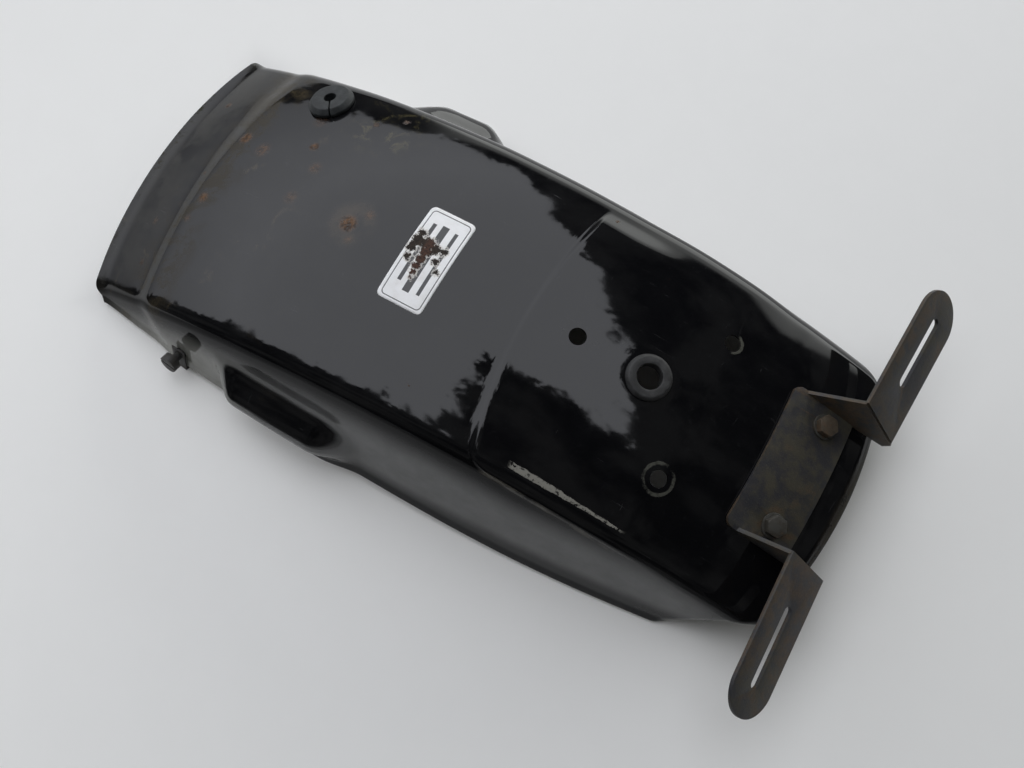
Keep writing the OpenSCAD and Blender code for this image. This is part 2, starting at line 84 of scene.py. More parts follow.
# front flange: the crease behind it is softer here than in the solid, and its lip sinks at the corners
FLANGE, CREASE = 48.0, 7.0
FLANGE_DROP, CREASE_BACK, CREASE_SOFT = 1.6, 4.0, 15.0
LIP_LEN, LIP_RISE, LIP_CORNER_SHARE = 9.0, 2.4, 0.25
LIP_FADE_C, LIP_FADE_COLS = 2.1, 0.9
# band round the tail, and bead along the skirts
BAND_LEN, BAND_DROP, BEAD_LEN, BEAD_RISE = 8.0, 3.0, 5.0, 1.2
# humps of the skirts, left and right where they differ; the right one is longer than in the solid
HUMP, HUMP_FOOT_SHARE, HUMP_H, HUMP_RIDGE = 13.0, 0.3, 36.0, 18.0
HUMP_LEN, HUMP_RISE, HUMP_FALL = (110.0, 96.0), (24.0, 40.0), 32.0
HUMP_S = S0 + 92.0
# raised lamp pad: its front edge bows, its front corners are rounded, and here the right one fades out
PAD_FRONT, PAD_RISE, PAD_EDGE, PAD_SWEEP = 12.5, 1.2, 4.0, 9.0
PAD_LEN, PAD_FADE, PAD_SIDE = 95.0, 38.0, 5.0
PAD_CORNER, PAD_CORNER_C, PAD_CORNER_COLS = 26.0, 0.86, 0.9
GONE_C, GONE_COLS, GONE_LEN, GONE_FADE = 0.97, 0.12, 62.0, 48.0
# lamp holes, cable holes, bracket bolts and edge clip
LAMP, CIRCLE, LAMP_HOLE, WIRE_AHEAD, LAMP_HOLES = 88.0, 92.4, 9.0, 6.0, 3
WIRE_WAIST, SLIT_WAIST = 18.0, 17.0
SLIT_S, SLIT_SIDE = S0 + 87.6, 65.0
BOLT_S, BOLT_SIDE, BOLT_HOLE = S1 - 34.4, 28.8, 6.6
CLIP_S, CLIP_UP, SCREW_HOLE = S0 + 62.6, 9.0, 7.0
# flat seat under the bracket's plate
SEAT_HALF, SEAT_FADE, SEAT_C, SEAT_COLS, SEAT_TURN = 25.0, 10.0, 0.80, 0.15, 0.3
# slight waves of the sheet, calm near the bolts, and its raised seat round the rubber ring
BROAD_WAVE, CLOSE_WAVE, CALM_LEN, CALM_FADE = 0.10, 0.06, 24.0, 12.0
RING_SEAT, RING_SEAT_R, RING_SEAT_FADE = 0.42, 25.0, 12.0
RING_RIM_R, RING_RIM_SHARE = 12.2, 0.9
# lengths in mm over which the waves turn by one radian, the broad wave's bend and where it starts
BROAD_P, BROAD_Y, BEND_Y, BEND, BROAD_START = 17.0, 19.0, 23.0, 0.6, 1.3
CLOSE_P, CLOSE_Y, CROSS_P, CROSS_Y = 9.1, 14.0, 31.0, 11.0

# the row's origin, in the plane through the three lamp holes
HOLES_UNDER_PAD = 3.7
LOW = R + PAD_RISE - HOLES_UNDER_PAD
ORIGIN = np.array([LOW * math.sin(LAMP / R), 0.0, R - LOW * math.cos(LAMP / R)])


def clip01(x):
    return np.clip(x, 0.0, 1.0)


def ease(x):
    k = clip01(x)
    return k * k * (3 - 2 * k)


def along_share(s):
    """How far s lies along the arch, 0 at its front and 1 at its tail."""
    return (s - S0) / (S1 - S0)


def crown_half(s):
    """Half width of the crown, up to where the shoulder starts."""
    t = along_share(s)
    return W_FRONT * (1 - t) ** 2 + 2 * W_MID * t * (1 - t) + W_TAIL * t ** 2 - SHOULDER_OUT


def section(s, c, h=0.0):
    """Side and height of the plain surface at s and c, moved out by h, and the skirt's height."""
    s, c = np.broadcast_arrays(np.asarray(s, float), np.asarray(c, float))
    half = crown_half(s)
    turn = np.arcsin(half / CROWN_R)
    edge_rise = RISE * np.sin(math.pi * clip01(along_share(s) / RISE_SHARE)) ** 2
    shoulder_low = CROWN_R * (np.cos(turn) - 1) - SHOULDER_R * (np.cos(turn) - math.cos(FACE))
    edge_low = (R - DROP + edge_rise) / np.cos(s / R) - R
    skirt = np.maximum(BEAD_LEN, (shoulder_low - edge_low) / math.cos(LEAN))
    on_crown = np.arcsin(np.minimum(c, 1) * half / CROWN_R)
    on_shoulder = turn + (FACE - turn) * clip01(c - 1)
    face = np.where(c <= 1, on_crown, on_shoulder)
    y = np.where(c <= 1, np.minimum(c, 1) * half,
                 half + SHOULDER_R * (np.sin(on_shoulder) - np.sin(turn)))
    n = np.where(c <= 1, CROWN_R * (np.cos(on_crown) - 1),
                 CROWN_R * (np.cos(turn) - 1) - SHOULDER_R * (np.cos(turn) - np.cos(on_shoulder)))
    down = skirt * np.maximum(c - 2, 0)
    y = y + down * math.sin(LEAN) + h * np.sin(face)
    n = n - down * math.cos(LEAN) + h * np.cos(face)
    return y, n, skirt


def place(s, c):
    """Arc length of a row at column c: rows are pulled in at the tail and bow at the pad."""
    pull = ROUND_LEN * (c / 3) ** ROUND_POWER * ease((s - S1 + ROUND_ZONE) / ROUND_ZONE)
    bow = (PAD_SWEEP * np.minimum(1, c) ** 2 * (1 - clip01(c - 2))
           * ease(1 - np.abs(s - PAD_FRONT) / ROUND_ZONE))
    return s - pull + bow


def arch(p, y, n):
    """Point in mm of the row's frame, from arc length, side and height over the crown's line."""
    a = np.asarray(p) / R
    return np.stack([-(R + n) * np.sin(a), y + 0 * a, (R + n) * np.cos(a) - R], -1) + ORIGIN


def flange_relief(s, c):
    """Drop of the front flange and rise of its lip."""
    drop = -FLANGE_DROP * ease((S0 + FLANGE + CREASE_BACK - s) / CREASE_SOFT)
    corner = LIP_CORNER_SHARE + (1 - LIP_CORNER_SHARE) * ease((LIP_FADE_C - c) / LIP_FADE_COLS)
    return drop + LIP_RISE * clip01((S0 + LIP_LEN - s) / LIP_LEN) ** 2 * corner


def hump_relief(p, up, left):
    """The hump of a skirt, at arc length p and height up over the lower edge."""
    ends = [ease((p - HUMP_S) / HUMP_RISE[k]) * ease((HUMP_S + HUMP_LEN[k] - p) / HUMP_FALL)
            for k in (0, 1)]
    along = np.where(left, ends[0], ends[1])
    across = ((HUMP_FOOT_SHARE + (1 - HUMP_FOOT_SHARE) * ease(up / HUMP_RIDGE))
              * ease((HUMP_H - up) / (HUMP_H - HUMP_RIDGE)))
    return HUMP * along * across


def pad_relief(s, c, left):
    turn = clip01((c - PAD_CORNER_C) / PAD_CORNER_COLS)
    corner = PAD_CORNER * (1 - np.sqrt(1 - turn * turn))
    pad = (PAD_RISE * ease((s - PAD_FRONT - corner) / PAD_EDGE)
           * ease((PAD_FRONT + PAD_LEN + PAD_FADE - s) / PAD_FADE)
           * ease((2 - c) * SHOULDER_R / PAD_SIDE))
    gone = (1 - ease((GONE_C - c) / GONE_COLS)) * ease((PAD_FRONT + GONE_LEN - s) / GONE_FADE)
    return pad * np.where(left, 1.0, 1 - gone)


def relief(s, p, c, skirt, left):
    """Height in mm of all pressed forms over the plain surface."""
    tail = -BAND_DROP * clip01((s - S1 + BAND_LEN) / BAND_LEN) ** 2
    up = skirt * (3 - c)
    on_skirt = np.where(c > 2, BEAD_RISE * ease(1 - up / BEAD_LEN) + hump_relief(p, up, left), 0)
    d = p - BOLT_S
    seat = ((R / np.cos(np.clip(d / R, -SEAT_TURN, SEAT_TURN)) - R)
            * ease((SEAT_HALF - np.abs(d)) / SEAT_FADE) * ease((SEAT_C - c) / SEAT_COLS))
    return flange_relief(s, c) + tail + on_skirt + pad_relief(s, c, left) + seat


def waves(p, y, c):
    """Slight unevenness of the pressed sheet, which breaks up its reflections."""
    calm = ease((np.abs(p - BOLT_S) - CALM_LEN) / CALM_FADE)
    broad = np.sin(p / BROAD_P + BEND * np.sin(y / BEND_Y)) * np.sin(y / BROAD_Y + BROAD_START)
    close = np.sin(p / CLOSE_P + y / CLOSE_Y) * np.cos(y / CROSS_Y - p / CROSS_P)
    ring = np.hypot(p - (LAMP - WIRE_AHEAD), y)
    seat = RING_SEAT * ease((RING_SEAT_R - ring) / RING_SEAT_FADE)
    return ((BROAD_WAVE * broad + CLOSE_WAVE * close) * calm * ease(3 - c)
            + seat * np.where(ring > RING_RIM_R, 1, RING_RIM_SHARE))


# the start of each stretch of rows or columns, and how many strips it has
ROW_STRETCHES = ((S0, 8), (S0 + LIP_LEN, 12), (S0 + FLANGE - CREASE, 9), (S0 + FLANGE, 66),
                 (PAD_FRONT, 7), (PAD_FRONT + PAD_EDGE, 72), (S1 - BAND_LEN, 9))
COL_STRETCHES = ((0, 36), (1, 16), (2, 14), (2.8, 8))


def spread(stretches, end):
    """Values from the first stretch's start to the end, evenly spaced in each stretch."""
    ends = [start for start, _ in stretches[1:]] + [end]
    parts = [np.linspace(start, stop, count, endpoint=False)
             for (start, count), stop in zip(stretches, ends)]
    return np.concatenate(parts + [[end]])


def new_object(name, verts, faces, mats, indices=None, smooth=True):
    mesh = bpy.data.meshes.new(name)
    mesh.from_pydata([tuple(v) for v in verts], [], [tuple(f) for f in faces])
    for m in mats:
        mesh.materials.append(m)
    if indices is not None:
        mesh.polygons.foreach_set("material_index", np.asarray(indices, dtype=np.int32))
    mesh.polygons.foreach_set("use_smooth", [smooth] * len(mesh.polygons))
    mesh.update()
    obj = bpy.data.objects.new(name, mesh)
    bpy.context.scene.collection.objects.link(obj)
    return obj


def apply_all(obj):
    """Replace an object's mesh with the result of its modifiers."""
    deps = bpy.context.evaluated_depsgraph_get()
    done = bpy.data.meshes.new_from_object(obj.evaluated_get(deps))
    old = obj.data
    obj.modifiers.clear()
    obj.data = done
    bpy.data.meshes.remove(old)


def with_alpha(color):
    """A colour of three values gets an alpha of 1; a socket stays as it is."""
    if isinstance(color, (tuple, list)) and len(color) == 3:
        return tuple(color) + (1.0,)
    return color


class Nodes:
    """Small helper that builds the node tree of one material or world."""

    def __init__(self, name, world=False):
        kind = bpy.data.worlds if world else bpy.data.materials
        self.owner = kind.new(name)
        self.owner.use_nodes = True
        self.tree = self.owner.node_tree
        self.tree.nodes.clear()
        self.object_coords = None

    def add(self, kind, **values):
        node = self.tree.nodes.new(kind)
        for key, value in values.items():
            setattr(node, key, value)
        return node

    def link(self, a, b):
        self.tree.links.new(a, b)

    def put(self, socket, value):
        if isinstance(value, bpy.types.NodeSocket):
            self.link(value, socket)
        else:
            socket.default_value = value

    def coords(self):
        if self.object_coords is None:
            self.object_coords = self.add("ShaderNodeTexCoord").outputs["Object"]
        return self.object_coords

    def split(self, vector=None):
        node = self.add("ShaderNodeSeparateXYZ")
        self.put(node.inputs[0], vector or self.coords())
        return node.outputs

    def math(self, op, a, b=0.0, c=0.0, clamp=False):
        node = self.add("ShaderNodeMath", operation=op, use_clamp=clamp)
        for socket, value in zip(node.inputs, (a, b, c)):
            self.put(socket, value)
        return node.outputs[0]

    def chain(self, op, values):
        total = values[0]
        for value in values[1:]:
            total = self.math(op, total, value)
        return total

    def plus(self, *values):
        return self.chain("ADD", values)

    def times(self, *values):
        return self.chain("MULTIPLY", values)

    def most(self, *values):
        return self.chain("MAXIMUM", values)

    def least(self, *values):
        return self.chain("MINIMUM", values)

    def minus(self, a, b):
        return self.math("SUBTRACT", a, b)

    def gap(self, a, b):
        """Distance between two values."""
        return self.math("ABSOLUTE", self.minus(a, b))

    def hypot(self, a, b):
        return self.math("SQRT", self.plus(self.times(a, a), self.times(b, b)))

    def scaled(self, a, factor, shift):
        return self.math("MULTIPLY_ADD", a, factor, shift)

    def noise(self, scale, detail, rough, distort=0.0, vector=None, stretch=None):
        node = self.add("ShaderNodeTexNoise")
        node.inputs["Scale"].default_value = scale
        node.inputs["Detail"].default_value = detail
        node.inputs["Roughness"].default_value = rough
        node.inputs["Distortion"].default_value = distort
        vec = vector or self.coords()
        if stretch:
            mapping = self.add("ShaderNodeMapping")
            mapping.inputs["Scale"].default_value = stretch
            self.link(vec, mapping.inputs["Vector"])
            vec = mapping.outputs[0]
        self.link(vec, node.inputs["Vector"])
        return node.outputs["Fac"]

    def wobble(self, scale, detail, rough, width, vector=None):
        """Noise that swings by about half a width to either side of zero."""
        return self.scaled(self.noise(scale, detail, rough, vector=vector), width, -width / 2)

    def voronoi(self, scale):
        node = self.add("ShaderNodeTexVoronoi", feature="F1")
        node.inputs["Scale"].default_value = scale
        self.link(self.coords(), node.inputs["Vector"])
        return node.outputs["Distance"]

    def band(self, value, lo, hi, out_lo=0.0, out_hi=1.0):
        """Smooth step from out_lo at lo to out_hi at hi."""
        node = self.add("ShaderNodeMapRange", interpolation_type="SMOOTHSTEP")
        self.put(node.inputs["Value"], value)
        node.inputs["From Min"].default_value = lo
        node.inputs["From Max"].default_value = hi
        node.inputs["To Min"].default_value = out_lo
        node.inputs["To Max"].default_value = out_hi
        return node.outputs["Result"]

    def under(self, value, lo, hi):
        """Mask that is 1 below lo and fades out up to hi."""
        return self.band(value, lo, hi, 1.0, 0.0)

    def mix(self, fac, a, b):
        node = self.add("ShaderNodeMix", data_type="RGBA")
        self.put(node.inputs[0], fac)
        self.put(node.inputs[6], with_alpha(a))
        self.put(node.inputs[7], with_alpha(b))
        return node.outputs[2]

    def mixf(self, fac, a, b):
        node = self.add("ShaderNodeMix", data_type="FLOAT")
        for socket, value in zip((node.inputs[0], node.inputs[2], node.inputs[3]), (fac, a, b)):
            self.put(socket, value)
        return node.outputs[0]

    def over(self, color, layer, *masks):
        """Lay a colour over another, as strongly as the product of the masks says."""
        return self.mix(self.times(*masks), color, layer)

    def near(self, point, radius, soft, wobble):
        """Mask that is 1 inside a radius of a point and fades over soft, in metres."""
        away = self.add("ShaderNodeVectorMath", operation="SUBTRACT")
        self.link(self.coords(), away.inputs[0])
        away.inputs[1].default_value = point
        length = self.add("ShaderNodeVectorMath", operation="LENGTH")
        self.link(away.outputs[0], length.inputs[0])
        return self.under(self.plus(length.outputs["Value"], wobble), radius, radius + soft)

    def bump(self, height, distance, strength, normal=None):
        node = self.add("ShaderNodeBump")
        node.inputs["Distance"].default_value = distance
        self.put(node.inputs["Strength"], strength)
        self.put(node.inputs["Height"], height)
        if normal is not None:
            self.link(normal, node.inputs["Normal"])
        return node.outputs["Normal"]

    def shader(self, color, rough, normal, specular):
        node = self.add("ShaderNodeBsdfPrincipled")
        self.put(node.inputs["Base Color"], with_alpha(color))
        self.put(node.inputs["Roughness"], rough)
        self.put(node.inputs["Specular IOR Level"], specular)
        self.link(normal, node.inputs["Normal"])
        out = self.add("ShaderNodeOutputMaterial")
        self.link(node.outputs[0], out.inputs["Surface"])
        return self.owner


def crown_point(s, y):
    """Point of the crown in metres, from arc length and side in mm."""
    n = math.sqrt(CROWN_R ** 2 - y * y) - CROWN_R
    return tuple(float(v) * MM for v in arch(np.array(float(s)), float(y), n))


def crown_x(s, y=0):
    """Forward place of a point of the crown, in metres."""
    return crown_point(s, y)[0]


def lamp_spot(k):
    """Point on the crown at the middle of one lamp hole, in metres."""
    a = 2 * math.pi * k / LAMP_HOLES
    return crown_point(LAMP - CIRCLE / 2 * math.cos(a), CIRCLE / 2 * math.sin(a))


# colours of the paint, of what lies on it, and of the painted reflection and highlight on it
BLACK, DUST = (0.0026, 0.0027, 0.0034), (0.050, 0.050, 0.052)
# the two film colours are dirt on the skirts with a painted reflection of the floor in them
REAR_FILM_AND_REFLECTION, FRONT_FILM_AND_REFLECTION = (0.165, 0.167, 0.165), (0.50, 0.50, 0.45)
FLANGE_STAIN, BLOTS = (0.030, 0.027, 0.019), (0.080, 0.062, 0.036)
CREASE_DIRT, OLIVE_DIRT, RING_STAIN = (0.062, 0.050, 0.030), (0.072, 0.062, 0.030), (0.080, 0.058, 0.034)
DARK_RUST, LIGHT_RUST = (0.045, 0.022, 0.010), (0.17, 0.085, 0.036)
RIM_OLIVE, RIM_BROWN = (0.058, 0.058, 0.040), (0.066, 0.050, 0.030)
# the second colour here is a painted highlight on the pad's left edge
SCUFF_BARE, PAD_EDGE_HIGHLIGHT = (0.30, 0.29, 0.25), (0.12, 0.11, 0.09)
PRINT_GREY, SCRATCH_GREY = (0.12, 0.12, 0.10), (0.13, 0.13, 0.13)

# rust spots: arc length, side, radius and soft edge in mm, and strength
RUST_SPOTS = (
    (-187, -25, 1.6, 3.6, 1.0), (-170, -21, 1.4, 5.0, 0.55), (-141, -33, 0.9, 2.8, 1.0),
    (-187, 17, 1.2, 3.4, 0.8), (-190, 31, 0.5, 2.8, 0.5), (-131, -21, 1.0, 4.6, 0.42),
    (-133, 0, 1.2, 4.6, 0.34), (-150, -50, 1.2, 5.0, 0.34), (-199, 3, 0.4, 2.0, 0.6),
    (-118, -60, 0.4, 2.4, 0.6), (-104, -69, 0.4, 2.0, 0.6), (-93, 1, 2.6, 4.2, 0.85),
    (-85, -8, 0.8, 3.6, 0.45), (-88, 9, 0.6, 3.0, 0.40), (-215, 38, 0.6, 2.6, 0.7),
    (-224, -45, 0.7, 3.0, 0.7), (-210, 62, 0.4, 2.6, 0.8), (66, -52, 0.2, 1.2, 0.5),
    (29, -68, 0.3, 1.3, 0.9), (-20, 61, 0.1, 1.0, 0.7))
# middle of the ring shaped stain and of the olive dirt, by arc length and side in mm
RING_AT, OLIVE_AT = (-91, 0), (-110, -63)
RING_R, RING_SOFT, RING_MIDDLE_R, RING_MIDDLE_SOFT = 0.0080, 0.0080, 0.0030, 0.0035
OLIVE_R, OLIVE_SOFT = 0.013, 0.016
# pairs are the places, in metres, between which a mask rises from none to full
DUST_X = (0.02, 0.26)
STEEP_UP = (0.74, 0.60)
# where the skirts' dirt film with its painted floor reflection lies: depth under the crown, reach towards
# the tail, and shift to the paler front colour
FILM_REFLECTION_DEPTH, FILM_REFLECTION_X, FRONT_FILM_REFLECTION_X = (-0.020, -0.046), (-0.10, -0.05), (0.17, 0.25)
BEAD_UP, BEAD_OFF_X = (0.012, 0.024), (0.15, 0.20)
SHADE_Y = (-0.075, -0.060)
# the dirt film with its painted floor reflection starts lower towards the tail: by what share, from where
# and over what length
FILM_REFLECTION_FALL_SHARE, FILM_REFLECTION_TAIL_X, FILM_REFLECTION_TAIL_LEN = -0.175, 0.035, 0.08
# reach of the flange's stain and of its gloss past the flange's end, and of the dirt in the crease
FLANGE_REACH, GLOSS_REACH, CREASE_REACH = (-0.004, 0.020), (-0.002, 0.012), (0.004, 0.022)
BLOTS_S, CREASE_AHEAD = (-60, -175), 6
# chips along the rims: how far in they start and are full, in mm
LIP_CHIPS, TAIL_CHIPS, TAIL_DULL, LOW_CHIPS = (7, 1), (9, 3), (8, 4), (6, 1)
CROWN_SHINE, FLANGE_SHINE, DULL_SHINE = 0.46, 0.36, 0.06
# the scuff along the pad's left side and the painted highlight on the pad's edge beside it
SCUFF_Y, HIGHLIGHT_Y, PAD_LINE_Y = 0.0705, 0.0795, 70
SCUFF_FROM, SCUFF_TO, HIGHLIGHT_TO = 112, 43, 30
SCUFF_THIN, SCUFF_WIDE, SCUFF_EDGE, SCUFF_SWING = 0.0004, 0.0014, 0.0003, 0.0020
HIGHLIGHT_HALF, HIGHLIGHT_END = 0.0003, 0.0008
# prints of washers: which lamp hole, radius, and how far forward of its middle the print reaches
PRINTS = ((1, 0.0084, 0.02), (2, 0.0058, -0.001))
PRINT_WIDTH, PRINT_END, PRINT_SOFT, PRINT_INNER_SOFT, PRINT_SWING = 0.0016, 0.002, 0.0005, 0.0006, 0.0012


def rust_spots(m, wobble):
    spots = [m.times(m.near(crown_point(s, side), radius * MM, soft * MM, wobble), strength)
             for s, side, radius, soft, strength in RUST_SPOTS]
    return m.most(*spots)


def skirt_masks(m, x, z):
    """Masks: the surface is steep, low on the skirt, and above the skirt's bead."""
    reach = m.hypot(m.minus(x, ORIGIN[0] * MM), m.plus(z, (R - ORIGIN[2]) * MM))
    back = m.least(m.most(m.minus(FILM_REFLECTION_TAIL_X, x), 0.0), FILM_REFLECTION_TAIL_LEN)
    low = m.band(m.scaled(back, FILM_REFLECTION_FALL_SHARE, m.minus(reach, R * MM)), *FILM_REFLECTION_DEPTH)
    facing = m.add("ShaderNodeNewGeometry").outputs["Normal"]
    steep = m.band(m.split(facing)[2], *STEEP_UP)
    over_bead = m.most(m.band(z, FLOOR + BEAD_UP[0], FLOOR + BEAD_UP[1], 0.25, 1.0),
                       m.band(x, *BEAD_OFF_X))
    return steep, low, over_bead


def scuff_mask(m, x, y):
    """Thin scuff along the pad's left side, wide in front and narrow behind."""
    ends = [crown_x(s, PAD_LINE_Y) for s in (SCUFF_FROM, SCUFF_FROM - 6, SCUFF_TO, SCUFF_TO + 4)]
    half = m.band(x, ends[0], crown_x(SCUFF_TO + 7, PAD_LINE_Y), SCUFF_THIN, SCUFF_WIDE)
    swing = m.wobble(scale=180, detail=3, rough=0.7, width=SCUFF_SWING)
    off = m.math("ABSOLUTE", m.plus(m.minus(y, SCUFF_Y), swing))
    return m.times(m.under(m.minus(off, half), 0.0, SCUFF_EDGE), m.band(x, ends[0], ends[1]),
                   m.band(x, ends[2], ends[3]), m.band(m.noise(scale=420, detail=3, rough=0.7), 0.36, 0.50))


def pad_highlight_mask(m, x, y, noise):
    """Painted highlight along the upper edge of the pad's left side."""
    ends = [crown_x(s, PAD_LINE_Y) for s in (SCUFF_FROM, SCUFF_FROM - 8, HIGHLIGHT_TO, HIGHLIGHT_TO + 6)]
    return m.times(m.under(m.gap(y, HIGHLIGHT_Y), HIGHLIGHT_HALF, HIGHLIGHT_END), m.band(x, ends[0], ends[1]),
                   m.band(x, ends[2], ends[3]), m.band(noise, 0.32, 0.56))


def washer_prints(m, x):
    """Rings that washers left round the rear lamp holes."""
    wave = m.wobble(scale=300, detail=3, rough=0.6, width=PRINT_SWING)
    broken = m.band(m.noise(scale=110, detail=4, rough=0.7), 0.36, 0.56)
    rings = []
    for hole, radius, reach in PRINTS:
        at = lamp_spot(hole)
        ring = m.minus(m.near(at, radius, PRINT_SOFT, wave),
                       m.near(at, radius - PRINT_WIDTH, PRINT_INNER_SOFT, wave))
        rings.append(m.times(ring, broken, m.band(x, at[0] + reach, at[0] + reach - PRINT_END)))
    return m.most(*rings)


def rim_mask(m, x, z):
    """Chips and rust along the front lip, the lower edges and the tail."""
    chips = m.band(m.noise(scale=160, detail=4, rough=0.7), 0.50, 0.62)
    lip = m.times(m.band(x, *[crown_x(S0 + s) for s in LIP_CHIPS]), chips)
    low = m.times(m.band(z, *[FLOOR + up * MM for up in LOW_CHIPS]), chips)
    rear = m.times(m.band(x, *[crown_x(S1 - s) for s in TAIL_CHIPS]),
                   m.band(m.noise(scale=120, detail=4, rough=0.7), 0.30, 0.52))
    return m.most(lip, low, m.times(rear, 0.55))


def scratch_mask(m, noise):
    """Fine scratches along and across the fender."""
    along = m.noise(scale=1.0, detail=3, rough=0.6, distort=0.6, stretch=(38, 900, 38))
    across = m.noise(scale=1.0, detail=3, rough=0.6, distort=0.9, stretch=(700, 55, 60))
    return m.times(m.most(m.band(along, 0.66, 0.72), m.band(across, 0.68, 0.74)), m.band(noise, 0.45, 0.7))


def paint_material():
    """Glossy black paint under dust, with stains, rust, scuffs, prints and scratches, a dirt film with a
    painted floor reflection on the skirts, and a painted highlight on the pad's edge.
    """
    m = Nodes("worn_black_paint")
    x, y, z = m.split()[:3]
    fine = m.noise(scale=900, detail=3, rough=0.6)
    mid = m.noise(scale=60, detail=5, rough=0.6)
    big = m.noise(scale=11, detail=3, rough=0.6, distort=0.4)
    speck = m.noise(scale=420, detail=3, rough=0.65)
    wobble = m.wobble(scale=420, detail=4, rough=0.75, width=0.0060)
    # dust, thicker towards the front of the crown
    dust = m.times(m.band(mid, 0.30, 0.75), m.mixf(m.band(x, *DUST_X), 0.03, 0.08))
    dust = m.plus(dust, m.times(m.band(speck, 0.60, 0.72), 0.06))
    color = m.mix(dust, BLACK, DUST)
    # film of dirt on the lower part of the skirts, with a painted reflection of the pale floor on its steep
    # faces, paler towards the front
    steep, skirt_low, over_bead = skirt_masks(m, x, z)
    film_and_reflection = m.times(skirt_low, steep, m.band(x, *FILM_REFLECTION_X, 0.3, 1.0), over_bead)
    film_and_reflection_color = m.mix(m.band(x, *FRONT_FILM_REFLECTION_X), REAR_FILM_AND_REFLECTION, FRONT_FILM_AND_REFLECTION)
    color = m.over(color, film_and_reflection_color, film_and_reflection, m.band(mid, 0.20, 0.70, 0.52, 0.70))
    # stains on the front flange, blots behind it, and dirt in the crease and by the right shoulder
    front_x = crown_x(S0 + FLANGE)
    flange = m.times(m.band(x, *[front_x + d for d in FLANGE_REACH]), m.band(mid, 0.30, 0.62))
    color = m.over(color, FLANGE_STAIN, flange, 0.35)
    blots = m.times(m.band(x, *[crown_x(s) for s in BLOTS_S]),
                    m.band(m.noise(scale=38, detail=5, rough=0.7, distort=0.8), 0.60, 0.72))
    color = m.over(color, BLOTS, blots, 0.42)
    crease = m.times(m.under(m.gap(x, crown_x(S0 + FLANGE + CREASE_AHEAD)), *CREASE_REACH),
                     m.band(m.noise(scale=46, detail=5, rough=0.7, distort=0.6), 0.44, 0.62))
    color = m.over(color, CREASE_DIRT, crease, 0.50)
    olive = m.times(m.near(crown_point(*OLIVE_AT), OLIVE_R, OLIVE_SOFT, wobble),
                    m.band(m.noise(scale=95, detail=4, rough=0.75, distort=0.5), 0.50, 0.66))
    color = m.over(color, OLIVE_DIRT, olive, 0.6)
    # stain round the largest rust spot, paler in its middle, and then the rust
    ring = m.near(crown_point(*RING_AT), RING_R, RING_SOFT, wobble)
    ring_middle = m.near(crown_point(*RING_AT), RING_MIDDLE_R, RING_MIDDLE_SOFT, wobble)
    stain = m.times(m.minus(ring, m.times(ring_middle, 0.6)), m.band(mid, 0.30, 0.62))
    color = m.over(color, RING_STAIN, stain, 0.36)
    rust = m.times(rust_spots(m, wobble), m.band(fine, 0.30, 0.52))
    color = m.mix(rust, color, m.mix(m.band(speck, 0.40, 0.62), DARK_RUST, LIGHT_RUST))
    # wear, and a painted highlight on the pad's edge
    rims = rim_mask(m, x, z)
    color = m.over(color, m.mix(m.band(big, 0.4, 0.6), RIM_OLIVE, RIM_BROWN), rims, 0.75)
    scuff = scuff_mask(m, x, y)
    color = m.over(color, SCUFF_BARE, scuff, 0.8)
    # painted highlight along the pad's left edge
    color = m.over(color, PAD_EDGE_HIGHLIGHT, pad_highlight_mask(m, x, y, mid), 0.7)
    color = m.over(color, PRINT_GREY, washer_prints(m, x), 0.6)
    scratches = scratch_mask(m, mid)
    color = m.over(color, SCRATCH_GREY, scratches, 0.22)
    # gloss and relief
    rough = m.mixf(m.band(mid, 0.3, 0.7), 0.030, 0.060)
    rough = m.mixf(dust, rough, 0.30)
    rough = m.mixf(m.times(flange, 0.4), rough, 0.40)
    rough = m.mixf(m.most(rust, rims, scuff), rough, 0.85)
    rough = m.mixf(m.times(scratches, 0.5), rough, 0.45)
    normal = m.bump(m.plus(m.times(mid, 0.5), m.times(speck, 0.12)), 0.00010, 0.22)
    normal = m.bump(fine, 0.0006, m.times(m.most(rust, rims), 0.7), normal)
    # the upper skirts, the tail's end, the rims and the crease shine less
    shade = m.times(steep, m.band(y, *SHADE_Y), m.minus(1.0, m.times(skirt_low, over_bead)))
    tail_end = m.band(x, *[crown_x(S1 - s) for s in TAIL_DULL])
    dull = m.most(rims, tail_end, shade, m.times(crease, 0.6))
    shine = m.mixf(m.band(x, *[front_x + d for d in GLOSS_REACH]), CROWN_SHINE, FLANGE_SHINE)
    shine = m.mixf(dull, shine, DULL_SHINE)
    return m.shader(color, rough, normal, shine)


def underside_material():
    m = Nodes("dusty_underside")
    mid = m.noise(scale=70, detail=6, rough=0.65)
    big = m.noise(scale=14, detail=5, rough=0.6, distort=0.5)
    fine = m.noise(scale=700, detail=4, rough=0.6)
    color = m.mix(m.band(mid, 0.3, 0.7), (0.010, 0.010, 0.010), (0.055, 0.050, 0.042))
    color = m.over(color, (0.13, 0.10, 0.07), m.band(big, 0.55, 0.7), 0.7)
    normal = m.bump(m.plus(mid, m.times(fine, 0.4)), 0.0008, 0.6)
    return m.shader(color, m.mixf(mid, 0.6, 0.95), normal, 0.3)


